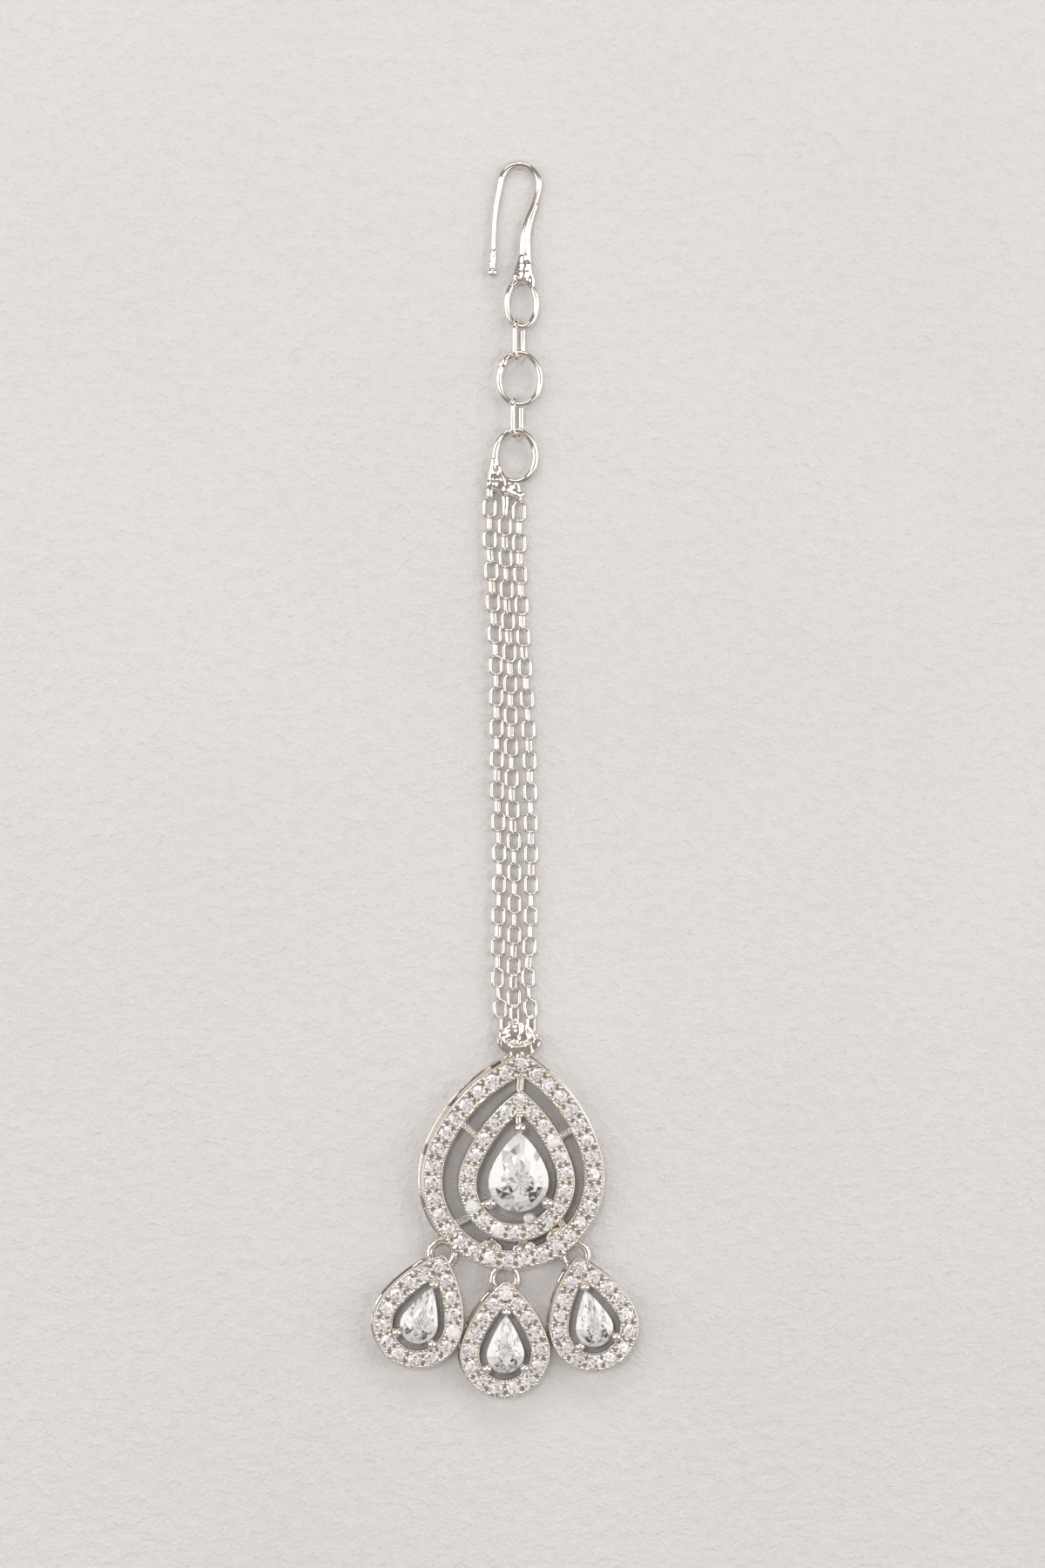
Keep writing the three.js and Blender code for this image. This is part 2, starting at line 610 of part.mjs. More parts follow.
function placeAll(geometries, shift) {
  geometries.forEach((one) => one.rotateZ(rad(shift.turn)).translate(shift.x, shift.y, 0));
}

// A drop's halo, claws and bail. Its own origin is the middle of the loop that it hangs from.
function dropFrame(side) {
  const parts = [
    pearBand(DROP_PEAR, 0, DROP_BAND, PLATE_TOP - PLATE_THICK, PLATE_TOP),
    ...paveRow(DROP_PEAR, DROP_BAND, PLATE_TOP),
    ...claws(DROP_STONE, DROP_PEAR, DROP_BAND, DROP_CLAW),
  ];
  const tip = pearTip(DROP_PEAR);
  const loopEdge = LOOP.radius + LOOP.wire / 2;
  const closed = { x: 0, y: tip, room: loopEdge + LOOP_ROOM + WINDOW.width };
  const room = new THREE.CylinderGeometry(loopEdge + LOOP_ROOM, loopEdge + LOOP_ROOM, 2 * LOOP.z, 16);
  const bottom = PLATE_TOP - PLATE_THICK;
  room.rotateX(Math.PI / 2).scale(1, 1, bottom / (2 * LOOP.z)).translate(0, tip, bottom / 2);
  const windows = galleryWindows(DROP_PEAR, [closed]);
  const wall = cut(solidOf(galleryWall(DROP_PEAR)), [...windows, room]);
  const bailRadius = LOOP.wire / 2 + BAIL_GAP + BAIL.wire / 2;
  const bail = new THREE.TorusGeometry(bailRadius, BAIL.wire / 2, BAIL.sides, BAIL.steps);
  bail.rotateY(Math.PI / 2).translate(0, tip - LOOP.radius, LOOP.z);
  const body = join([...parts, bail]).add(wall);
  return mesh("drop_" + side + "_frame", geometryOf(body).translate(0, -tip, 0), SILVER);
}

function drop(side) {
  const group = new THREE.Group();
  const stone = clawStone("drop_" + side + "_stone", DROP_STONE, DROP_CUT);
  stone.position.set(0, -pearTip(DROP_PEAR), 0);
  group.add(dropFrame(side), stone);
  const at = loopPlace(side);
  group.position.set(at.x, at.y, 0);
  group.rotation.z = rad(DROP_TURNS[side]);
  return group;
}

// The pendant with its centre stone and its drops, turned about its tip.
function pendant() {
  const group = new THREE.Group();
  const stone = clawStone("centre_stone", CENTRE_STONE, CENTRE_CUT);
  stone.position.set(CENTRE_SHIFT.x, CENTRE_SHIFT.y, 0);
  stone.rotation.z = rad(CENTRE_SHIFT.turn);
  group.add(pendantFrame(), stone, ...SIDES.map(drop));
  const turn = rad(PENDANT_TURN);
  const tip = pearTip(OUTER_PEAR);
  group.position.set(
    PENDANT_TIP.x + tip * Math.sin(turn),
    PENDANT_TIP.y - tip * Math.cos(turn),
    0,
  );
  group.rotation.z = turn;
  return group;
}

function at(object, x, y, z) {
  object.position.set(x, y, z);
  return object;
}

const laidOut = new THREE.Group();
laidOut.add(
  at(hairHook(), HOOK_X, hookRingY, linkZ),
  at(rolledLink("link_upper"), LINK_UPPER_X, linkUpperY, linkZ),
  at(extenderRing(), EXTENDER_X, extenderY, linkZ),
  at(rolledLink("link_lower"), LINK_LOWER_X, linkLowerY, linkZ),
  chainHead(),
  ...SIDES.map(strand),
  pendant(),
);

// The origin is at the middle of the whole piece, on the table.
const bounds = new THREE.Box3().setFromObject(laidOut, true);
const middle = bounds.getCenter(new THREE.Vector3());
laidOut.position.set(-middle.x, -middle.y, -bounds.min.z);
const tikka = new THREE.Group();
tikka.add(laidOut);

export default tikka;
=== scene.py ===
import json
import math
import random

import bpy
import numpy as np
from mathutils import Matrix, Vector, noise

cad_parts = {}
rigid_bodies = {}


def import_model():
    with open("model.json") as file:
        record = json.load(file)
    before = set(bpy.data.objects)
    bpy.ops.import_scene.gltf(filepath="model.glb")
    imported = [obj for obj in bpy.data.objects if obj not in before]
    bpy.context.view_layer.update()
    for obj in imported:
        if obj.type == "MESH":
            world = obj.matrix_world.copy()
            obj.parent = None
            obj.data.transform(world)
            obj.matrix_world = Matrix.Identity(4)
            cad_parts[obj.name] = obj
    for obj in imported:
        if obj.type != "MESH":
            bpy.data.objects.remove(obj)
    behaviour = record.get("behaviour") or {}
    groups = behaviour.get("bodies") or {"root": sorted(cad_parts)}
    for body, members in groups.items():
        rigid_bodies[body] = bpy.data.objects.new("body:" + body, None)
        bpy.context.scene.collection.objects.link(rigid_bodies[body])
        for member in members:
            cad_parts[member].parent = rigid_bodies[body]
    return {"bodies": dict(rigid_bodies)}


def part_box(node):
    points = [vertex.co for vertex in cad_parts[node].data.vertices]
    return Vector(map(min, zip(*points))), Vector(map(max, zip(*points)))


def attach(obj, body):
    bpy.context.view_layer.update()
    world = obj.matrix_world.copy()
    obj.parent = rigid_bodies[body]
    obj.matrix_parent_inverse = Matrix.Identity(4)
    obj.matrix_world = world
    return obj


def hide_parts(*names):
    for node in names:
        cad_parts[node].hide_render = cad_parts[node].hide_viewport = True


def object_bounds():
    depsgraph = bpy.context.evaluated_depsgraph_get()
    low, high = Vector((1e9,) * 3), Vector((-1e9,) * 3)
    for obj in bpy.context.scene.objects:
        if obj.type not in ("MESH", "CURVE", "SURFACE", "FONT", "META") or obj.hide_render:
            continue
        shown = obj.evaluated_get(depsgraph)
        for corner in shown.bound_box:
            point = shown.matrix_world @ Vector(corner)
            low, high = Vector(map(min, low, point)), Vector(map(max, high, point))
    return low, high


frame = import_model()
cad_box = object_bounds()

# Camera
# The jewel lies flat and is seen from above, a little from its left and from the hook's
# end, through a long lens, so that the whole tall frame is about 165 mm of the table.
MM = 0.001
VIEW_LEFT = math.radians(8.0)
VIEW_HEAD = math.radians(4.0)
CAMERA_AWAY = 457.5 * MM
AIM_RIGHT = 2.05 * MM
AIM_DOWN = 0.05 * MM
middle = (np.array(cad_box[0]) + np.array(cad_box[1])) / 2
aim = Vector((middle[0] + AIM_RIGHT, middle[1] - AIM_DOWN, 0.0))
away = Vector((-math.sin(VIEW_LEFT), math.sin(VIEW_HEAD), 0.0))
away.z = math.sqrt(1 - away.x ** 2 - away.y ** 2)
lens = bpy.data.cameras.new("camera")
lens.lens = 100.0
lens.sensor_width = 36.0
lens.clip_start = 0.01
camera = bpy.data.objects.new("camera", lens)
bpy.context.scene.collection.objects.link(camera)
side = Vector((0, 1, 0)).cross(away).normalized()
turn = Matrix((side, away.cross(side), away)).transposed()
camera.matrix_world = Matrix.Translation(aim + CAMERA_AWAY * away) @ turn.to_4x4()
bpy.context.scene.camera = camera


# Table and light
# A sheet of pale, warm grey paper with a faint tooth, in a dim room. A large soft light over
# each long side throws soft shadows to both sides, two more stand at the ends, and a small
# lamp above makes the stones sparkle.
class Value:
    """A node's output, so that shader maths is written as Python."""

    def __init__(self, tree, socket):
        self.tree = tree
        self.socket = socket

    def maths(self, operation, first, second):
        made = self.tree.nodes.new("ShaderNodeMath")
        made.operation = operation
        for place, value in enumerate((first, second)):
            if isinstance(value, Value):
                self.tree.links.new(value.socket, made.inputs[place])
            else:
                made.inputs[place].default_value = value
        return Value(self.tree, made.outputs[0])

    def __add__(self, other):
        return self.maths("ADD", self, other)

    def __radd__(self, other):
        return self.maths("ADD", other, self)

    def __sub__(self, other):
        return self.maths("SUBTRACT", self, other)

    def __rsub__(self, other):
        return self.maths("SUBTRACT", other, self)

    def __mul__(self, other):
        return self.maths("MULTIPLY", self, other)

    def __rmul__(self, other):
        return self.maths("MULTIPLY", other, self)


class Finish:
    """One material: a Principled shader and the nodes that feed it."""

    def __init__(self, name, **constants):
        self.material = bpy.data.materials.new(name)
        self.material.use_nodes = True
        self.tree = self.material.node_tree
        self.shader = self.tree.nodes["Principled BSDF"]
        for socket, value in constants.items():
            self.shader.inputs[socket.replace("_", " ")].default_value = value

    def node(self, kind, settings=None, output=0, **sockets):
        made = self.tree.nodes.new("ShaderNode" + kind)
        for name, value in (settings or {}).items():
            if name == "stops":
                ramp = made.color_ramp
                while len(ramp.elements) < len(value):
                    ramp.elements.new(1.0)
                for stop, (place, colour) in zip(ramp.elements, value):
                    stop.position = place
                    stop.color = colour
            else:
                setattr(made, name, value)
        for name, value in sockets.items():
            if isinstance(value, Value):
                self.tree.links.new(value.socket, made.inputs[name])
            else:
                made.inputs[name].default_value = value
        return Value(self.tree, made.outputs[output])

    def feed(self, **sockets):
        for name, value in sockets.items():
            self.tree.links.new(value.socket, self.shader.inputs[name.replace("_", " ")])
        return self

    def place(self):
        return self.node("TexCoord", output=3)


def box_mesh(name, low, high):
    """A plain box between two corners."""
    corners = [(x, y, z) for z in (low[2], high[2]) for y in (low[1], high[1]) for x in (low[0], high[0])]
    faces = [(0, 2, 3, 1), (4, 5, 7, 6), (0, 1, 5, 4), (2, 6, 7, 3), (0, 4, 6, 2), (1, 3, 7, 5)]
    mesh = bpy.data.meshes.new(name)
    mesh.from_pydata(corners, [], faces)
    return mesh


TABLE_HALF = 0.9
TABLE_THICK = 0.004
PAPER_TONES = [(0.3, (0.66, 0.65, 0.648, 1)), (0.7, (0.735, 0.725, 0.722, 1))]
paper = Finish("paper", Roughness=0.92)
where = paper.place()
tooth = paper.node("TexNoise", Vector=where, Scale=2600.0, Detail=3.0)
felt = paper.node("TexNoise", Vector=where, Scale=760.0, Detail=3.0)
cloud = paper.node("TexNoise", Vector=where, Scale=26.0, Detail=2.0)
mottle = cloud * 0.3 + felt * 0.35 + tooth * 0.35
tone = paper.node("ValToRGB", {"stops": PAPER_TONES}, Fac=mottle)
grain = paper.node("Bump", Height=tooth * 0.5 + felt, Strength=0.8, Distance=0.0004)
paper.feed(Base_Color=tone, Normal=grain)
table_low = (-TABLE_HALF, -TABLE_HALF, -TABLE_THICK)
table_high = (TABLE_HALF, TABLE_HALF, 0.0)
table = bpy.data.objects.new("table", box_mesh("table", table_low, table_high))
table.data.materials.append(paper.material)
bpy.context.scene.collection.objects.link(table)


def soft_light(name, place, size, power, colour):
    """An even rectangle of light that faces the middle of the table."""
    lamp = bpy.data.lights.new(name, "AREA")
    lamp.shape = "RECTANGLE"
    lamp.size, lamp.size_y = size
    lamp.energy = power
    lamp.color = colour
    holder = bpy.data.objects.new(name, lamp)
    holder.location = place
    facing = Vector((0, 0, 0)) - Vector(place)
    holder.rotation_euler = facing.to_track_quat("-Z", "Y").to_euler()
    bpy.context.scene.collection.objects.link(holder)


SIDE_PANEL = (0.55, 0.90)
END_PANEL = (0.90, 0.30)
SMALL_PANEL = (0.10, 0.10)
DAY_WHITE = (1.0, 0.99, 0.98)
WARM_WHITE = (1.0, 0.985, 0.97)
LAMP_WHITE = (1.0, 0.98, 0.95)
soft_light("light_left", (-0.55, 0.03, 0.40), SIDE_PANEL, 2.5, DAY_WHITE)
soft_light("light_right", (0.55, 0.0, 0.41), SIDE_PANEL, 2.7, WARM_WHITE)
soft_light("light_head", (0.0, 0.70, 0.46), END_PANEL, 2.2, DAY_WHITE)
soft_light("light_foot", (0.0, -0.70, 0.44), END_PANEL, 0.5, DAY_WHITE)
soft_light("lamp_above", (-0.22, 0.18, 0.80), SMALL_PANEL, 1.2, LAMP_WHITE)

# A dim room round the table: its shade by height, from near the horizon to straight above
ROOM = ((0.10, 0.10), (0.30, 0.14), (0.50, 0.32), (0.72, 0.28), (0.92, 0.33), (0.985, 0.27))
ROOM_GREEN = 1.06
ROOM_BLUE = 1.13
world = bpy.data.worlds.new("studio")
world.use_nodes = True
bpy.context.scene.world = world
sky = world.node_tree
up = sky.nodes.new("ShaderNodeTexCoord")
split = sky.nodes.new("ShaderNodeSeparateXYZ")
walls = sky.nodes.new("ShaderNodeValToRGB")
for height, shade in ROOM:
    stop = walls.color_ramp.elements.new(height)
    stop.color = (shade, shade ** ROOM_GREEN, shade ** ROOM_BLUE, 1)
walls.color_ramp.elements.remove(walls.color_ramp.elements[0])
walls.color_ramp.elements.remove(walls.color_ramp.elements[-1])
sky.links.new(up.outputs["Generated"], split.inputs[0])
sky.links.new(split.outputs["Z"], walls.inputs["Fac"])
sky.links.new(walls.outputs["Color"], sky.nodes["Background"].inputs["Color"])
sky.nodes["Background"].inputs["Strength"].default_value = 1.0
bpy.context.scene.view_settings.view_transform = "Standard"
bpy.context.scene.view_settings.look = "None"


# Hair hook
# One silver-toned wire bent over at the top and doubled down its stem, with a ball on its free
# end. Solder joins the stem to an oval ring. It leans down from the ring onto the table.
WARM_PLATE = (1.0, 0.955, 0.90)
COOL_PLATE = (1.0, 1.0, 1.01)


def silver_finish(name, tone, rough, ripple):
    """Bright rhodium plate: faint colour drift, wiping marks, and casting ripple as bump."""
    plate = Finish(name, Metallic=1.0)
    spot = plate.place()
    drift = plate.node("TexNoise", Vector=spot, Scale=420.0, Detail=2.0)
    warm = tuple(c * w for c, w in zip(tone, WARM_PLATE)) + (1,)
    cool = tuple(c * w for c, w in zip(tone, COOL_PLATE)) + (1,)
    hue = plate.node("ValToRGB", {"stops": [(0.34, warm), (0.62, cool)]}, Fac=drift)
    wipe = plate.node("TexNoise", Vector=spot, Scale=2600.0, Detail=3.0)
    shine = rough + (wipe - 0.5) * rough * 1.2
    dent = plate.node("TexNoise", Vector=spot, Scale=900.0, Detail=2.0)
    skin = plate.node("Bump", Height=dent, Strength=ripple, Distance=0.00008)
    return plate.feed(Base_Color=hue, Roughness=shine, Normal=skin)


silver = silver_finish("silver", (0.84, 0.805, 0.765), rough=0.12, ripple=0.35)
wire_silver = silver_finish("wire_silver", (0.87, 0.835, 0.80), rough=0.09, ripple=0.12)


def net(rows, columns, closed, flip=False):
    """The quads between rows of points, each row a ring, and from the last row to the first if closed."""
    quads = []
    for i in range(rows if closed else rows - 1):
        j = (i + 1) % rows
        for k in range(columns):
            m = (k + 1) % columns
            a, b = i * columns + k, i * columns + m
            c, d = j * columns + m, j * columns + k
            quads.append((a, d, c, b) if flip else (a, b, c, d))
    return quads


def ringed(path, radius, sides, closed, flat=1.0):
    """A round wire along a path, as vertices and quads, with domed ends where it is open."""
    path = np.asarray(path, float)
    count = len(path)
    along = np.roll(path, -1, 0) - np.roll(path, 1, 0)
    if not closed:
        along[0] = path[1] - path[0]
        along[-1] = path[-1] - path[-2]
    along /= np.linalg.norm(along, axis=1)[:, None]
    radius = np.broadcast_to(np.asarray(radius, float), (count,)).copy()
    steep = np.abs(along[:, 2]).max() >= 0.9
    upward = np.array([1.0, 0.0, 0.0]) if steep else np.array([0.0, 0.0, 1.0])
    across = np.cross(along, upward)
    across /= np.linalg.norm(across, axis=1)[:, None]
    rise = np.cross(across, along)
    turns = np.arange(sides) * 2 * math.pi / sides
    circle = [
        path + radius[:, None] * (math.cos(t) * across + flat * math.sin(t) * rise) for t in turns
    ]
    verts = np.stack(circle, 1).reshape(-1, 3)
    faces = net(count, sides, closed, flip=True)
    if closed:
        return verts, faces
    for end, outward in ((0, -along[0]), (count - 1, along[-1])):
        last = [end * sides + k for k in range(sides)]
        inner = last
        for step in (0.5, 0.85):
            start = len(verts)
            lift = path[end] + outward * radius[end] * step * 0.8
            ring = lift + (verts[last] - path[end]) * math.sqrt(1 - step ** 2)
            verts = np.vstack([verts, ring])
            outer = list(range(start, start + sides))
            for k in range(sides):
                m = (k + 1) % sides
                quad = (inner[k], inner[m], outer[m], outer[k])
                faces.append(quad if end else quad[::-1])
            inner = outer
        faces.append(tuple(inner) if end else tuple(reversed(inner)))
    return verts, faces


def ball(at, radius, rings=8, sides=14, flat=1.0):
    """A small round ball or bead."""
    at = np.asarray(at, float)
    verts = [at + (0, 0, radius * flat)]
    for i in range(1, rings):
        down = math.pi * i / rings
        for k in range(sides):
            t = 2 * math.pi * k / sides
            reach = radius * math.sin(down)
            verts.append(at + (reach * math.cos(t), reach * math.sin(t), flat * radius * math.cos(down)))
    verts.append(at - (0, 0, radius * flat))
    faces = [(0, 1 + k, 1 + (k + 1) % sides) for k in range(sides)]
    faces += [tuple(i + 1 for i in quad) for quad in net(rings - 1, sides, False, flip=True)]
    last = 1 + (rings - 2) * sides
    faces += [(last + k, len(verts) - 1, last + (k + 1) % sides) for k in range(sides)]
    return np.array(verts), faces


def together(parts):
    """Several vertex and face lists as one."""
    verts, faces = [], []
    start = 0
    for points, loops in parts:
        verts.append(np.asarray(points, float))
        faces += [tuple(i + start for i in loop) for loop in loops]
        start += len(points)
    return np.vstack(verts), faces


def make(name, shape, finish, nodes=(), smooth=True):
    """One piece of the jewel from a shape in millimetres, riding with the rest of it."""
    verts, faces = shape
    mesh = bpy.data.meshes.new(name)
    mesh.from_pydata((np.asarray(verts) * MM).tolist(), [], faces)
    mesh.polygons.foreach_set("use_smooth", [smooth] * len(mesh.polygons))
    mesh.materials.append(finish.material)
    mesh.validate()
    piece = bpy.data.objects.new(name, mesh)
    bpy.context.scene.collection.objects.link(piece)
    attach(piece, next(iter(frame["bodies"])))
    if nodes:
        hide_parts(*nodes)
    return piece


def box_of(node):
    """A CAD node's lowest and highest corners, in millimetres."""
    low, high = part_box(node)
    return np.array(low) / MM, np.array(high) / MM


def seated(shape, node):
    """The shape, moved onto the CAD node's box, and drawn in by a hair where it would pass it."""
    verts, faces = shape
    low, high = box_of(node)
    size = verts.max(0) - verts.min(0)
    middle = (verts.max(0) + verts.min(0)) / 2
    return (verts - middle) * np.minimum(1.0, (high - low) / size) + (low + high) / 2, faces


def smooth_path(points, steps):
    """A smooth curve through a few points, evenly sampled."""
    points = np.asarray(points, float)
    padded = np.vstack([2 * points[0] - points[1], points, 2 * points[-1] - points[-2]])
    fine = []
    for i in range(1, len(padded) - 2):
        a, b, c, d = padded[i - 1:i + 3]
        for t in np.linspace(0, 1, 24, endpoint=False):
            square = (2 * a - 5 * b + 4 * c - d) * t ** 2
            cube = (3 * b - a - 3 * c + d) * t ** 3
            fine.append(0.5 * ((2 * b) + (c - a) * t + square + cube))
    fine = np.vstack([fine, points[-1]])
    gone = np.concatenate([[0], np.cumsum(np.linalg.norm(np.diff(fine, axis=0), axis=1))])
    even = np.linspace(0, gone[-1], steps)
    return np.stack([np.interp(even, gone, fine[:, k]) for k in range(3)], 1)


def oval_path(width, length, wire, steps=72):
    """The middle line of a lying oval ring, from its outer width and length."""
    turns = np.arange(steps) * 2 * math.pi / steps
    across = (width - wire) / 2
    along = (length - wire) / 2
    return np.stack([across * np.cos(turns), along * np.sin(turns), 0 * turns], 1)


def tipped(verts, degrees, pivot):
    """Turned about X through a pivot, positive lifting the +Y end."""
    t = math.radians(degrees)
    turned = verts - pivot
    y = turned[:, 1] * math.cos(t) - turned[:, 2] * math.sin(t)
    z = turned[:, 1] * math.sin(t) + turned[:, 2] * math.cos(t)
    return np.stack([turned[:, 0], y, z], 1) + pivot


def soldered(parts, voxel, sag, seed):
    """Parts run together as cast or soldered metal: remeshed as one, smoothed and made uneven."""
    verts, faces = together(parts)
    mesh = bpy.data.meshes.new("melt")
    mesh.from_pydata(np.asarray(verts).tolist(), [], faces)
    holder = bpy.data.objects.new("melt", mesh)
    bpy.context.scene.collection.objects.link(holder)
    remesh = holder.modifiers.new("remesh", "REMESH")
    remesh.mode = "VOXEL"
    remesh.voxel_size = voxel
    relax = holder.modifiers.new("smooth", "SMOOTH")
    relax.iterations = 10
    relax.factor = 0.6
    run = bpy.context.evaluated_depsgraph_get()
    done = holder.evaluated_get(run).to_mesh()
    points = np.empty(len(done.vertices) * 3)
    done.vertices.foreach_get("co", points)
    normals = np.array([v.normal[:] for v in done.vertices])
    points = points.reshape(-1, 3)
    lumps = np.array([noise.noise(Vector(p * 1.5 + seed)) for p in points])
    loops = [tuple(p.vertices) for p in done.polygons]
    bpy.data.objects.remove(holder)
    return points + normals * (lumps * sag)[:, None], loops


def rod(start, end, first, last, steps=10):
    """A straight wire between two points, from its first radius to its last."""
    share = np.linspace(0, 1, steps)[:, None]
    path = np.asarray(start) * (1 - share) + np.asarray(end) * share
    return ringed(path, np.linspace(first, last, steps), 16, False)


# The hook's sizes: its wire, its ring's width, length and wire, how far the stem leans to the
# right and the bend's radius, then the lengths of its foot, doubled stem, upper stem and tail,
# the end ball's radius, the height that the wire takes up, and the steps along its path
HOOK_WIRE = 0.70
HOOK_RING = (3.9, 5.6, 0.68)
HOOK_SWAY = 1.96
HOOK_BEND = 2.1
HOOK_FOOT = 1.05
HOOK_DOUBLED = 3.2
HOOK_UPPER = 5.3
HOOK_TAIL = 9.1
HOOK_BALL = 0.57
HOOK_THICK = 0.75
HOOK_STEPS = 150
foot = HOOK_RING[1] / 2 + HOOK_FOOT
shoulder = foot + HOOK_DOUBLED
bend_y = shoulder + HOOK_UPPER
bend_x = HOOK_SWAY - HOOK_BEND
stem_points = [
    (0, foot, 0),
    (0.05 * HOOK_SWAY, foot + HOOK_DOUBLED / 2, 0),
    (0.12 * HOOK_SWAY, shoulder, 0),
    (0.36 * HOOK_SWAY, shoulder + 0.32 * HOOK_UPPER, 0),
    (0.72 * HOOK_SWAY, shoulder + 0.62 * HOOK_UPPER, 0),
]
bend_turns = [math.radians(degrees) for degrees in range(0, 181, 30)]
bend_points = [(bend_x + HOOK_BEND * math.cos(t), bend_y + HOOK_BEND * math.sin(t), 0) for t in bend_turns]
tail_x = bend_x - HOOK_BEND
tail_points = [
    (tail_x - 0.585, bend_y - 0.36 * HOOK_TAIL, 0),
    (tail_x - 0.9, bend_y - HOOK_TAIL, 0),
]
hook_path = smooth_path(stem_points + bend_points + tail_points, HOOK_STEPS)
# The wire is fullest in the bend and drawn thinner down the tail
hook_steps = np.arange(HOOK_STEPS)
swell = 1 + 0.12 * np.exp(-((hook_steps - 72) / 22.0) ** 2)
swell *= np.interp(hook_steps, (0, 88, 118, HOOK_STEPS - 1), (1.0, 1.0, 0.82, 0.86))
# The wire's doubled end lies on the right of the stem and runs into it half way up
twin_points = [(x + HOOK_WIRE * (1.12 - 0.22 * i), y, z) for i, (x, y, z) in enumerate(stem_points)]
twin_path = smooth_path(twin_points, 60)
ring_path = oval_path(*HOOK_RING)
foot_solder = soldered(
    [
        rod((0.05, foot + 1.0, 0), (-0.55, foot - 1.1, 0), 0.40, 0.46),
        rod((0.2, foot + 1.2, 0), (0.2, foot - 1.1, 0), 0.46, 0.58),
        rod((0.5, foot + 1.2, 0), (1.15, foot - 1.6, 0), 0.38, 0.42),
        ball((0.25, foot - 0.75, 0.02), 0.85, 12, 20, 0.62),
        ball((0.35, foot + 0.1, 0.03), 0.72, 12, 20, 0.72),
        ringed(ring_path[9:27], 0.38, 14, False),
    ],
    voxel=0.085,
    sag=0.012,
    seed=3.0,
)
lumps = [ball(hook_path[-4 - 3 * i] + (0.16 * (-1) ** i, 0, 0.05), 0.27) for i in range(4)]
rough_end = soldered(
    [ringed(hook_path[-15:-3], 0.37, 14, False)] + lumps,
    voxel=0.06,
    sag=0.07,
    seed=21.0,
)
hook_shape = together([
    ringed(hook_path, HOOK_WIRE / 2 * swell, 20, False),
    ringed(twin_path, HOOK_WIRE / 2 * 0.96, 18, False),
    ringed(ring_path, HOOK_RING[2] / 2, 18, True),
    ball(hook_path[-1], HOOK_BALL, 12, 20),
    rough_end,
    foot_solder,
])
ring_end = (HOOK_RING[1] - HOOK_RING[2]) / 2
hook_low, hook_high = box_of("hook")
hook_length = hook_high[1] - hook_low[1]
hook_height = hook_high[2] - hook_low[2] - HOOK_THICK
hook_lean = math.degrees(math.asin(hook_height / hook_length))
hook_shape = (tipped(hook_shape[0], -hook_lean, np.array([0, -ring_end, 0])), hook_shape[1])
make("hair_hook", seated(hook_shape, "hook"), wire_silver, ["hook"])


# Extender ring and links
# Two oval links join the hook's ring, an open oval ring and the chain's head ring. They are
# plain round wire; the ring shows the lump of solder where its wire was closed.
LINK_SIZE = (2.72, 4.7, 0.55)
LINK_ROLL = math.radians(58)


def link_path(width, length, wire, steps):
    """The middle line of a lying link: two half rounds and two straight sides."""
    turns = (np.arange(steps) + 0.5) * 2 * math.pi / steps
    across = (width - wire) / 2
    apart = (length - width) / 2
    return np.stack([
        across * np.cos(turns),
        across * np.sin(turns) + apart * np.sign(np.sin(turns)),
        0 * turns,
    ], 1)


def rolled(verts, turn):
    """Turned about Y, so that a link lies on its side."""
    x = verts[:, 0] * math.cos(turn) + verts[:, 2] * math.sin(turn)
    z = -verts[:, 0] * math.sin(turn) + verts[:, 2] * math.cos(turn)
    return np.stack([x, verts[:, 1], z], 1)


for link_node in ("link_upper", "link_lower"):
    wire = ringed(link_path(*LINK_SIZE, 64), LINK_SIZE[2] / 2, 18, True)
    link = (rolled(wire[0], LINK_ROLL), wire[1])
    make("oval_" + link_node, seated(link, link_node), wire_silver, [link_node])

EXTENDER = (5.0, 6.0, 0.65)
extender_path = oval_path(*EXTENDER)
seam = soldered(
    [
        ball((-0.36 * EXTENDER[0], 0.27 * EXTENDER[1], 0), 0.46, 10, 16),
        ringed(extender_path[22:34], 0.36, 14, False),
    ],
    voxel=0.07,
    sag=0.06,
    seed=9.0,
)
extender_low, extender_high = box_of("extender_ring")
extender = together([ringed(extender_path, EXTENDER[2] / 2, 20, True), seam])
extender = (extender[0] + (extender_low + extender_high) / 2, extender[1])
make("oval_extender_ring", extender, wire_silver, ["extender_ring"])


# Head ring and solder yoke
# An oval ring with a rough, shiny blob of solder run down its left side, from which three
# short legs reach the three strands. The solder is lumpy and bright.
STRAND_STEP = 1.48
STRAND_HALF = 0.69
SIDES = {"left": -1, "middle": 0, "right": 1}
STRAND_TOP = {"left": 57.33, "middle": 55.4, "right": 56.9}
STRAND_BOTTOM = {"left": 0.75, "middle": 0.25, "right": 0.75}
# The chosen points of the chain's route, from the yoke to the collar: how far up, the middle
# strand's x, and the spare room on its left and on its right
ROUTE = [
    (53.0, -1.33, 0.12, 0.0),
    (46.4, -1.1, 0.0, 0.0),
    (39.9, -0.81, 0.0, 0.08),
    (33.2, -0.72, 0.0, 0.37),
    (26.6, -0.6, 0.07, 0.45),
    (20.0, -0.38, 0.07, 0.32),
    (13.3, -0.34, 0.2, 0.24),
    (6.6, -0.43, 0.2, 0.05),
    (3.0, -0.32, 0.0, 0.25),
]
middle_low, middle_high = box_of("chain_middle")
collar_x = middle_low[0] - ROUTE[0][1] + STRAND_HALF
collar_y = middle_low[1] - STRAND_BOTTOM["middle"]
chain_z = (middle_low[2] + middle_high[2]) / 2


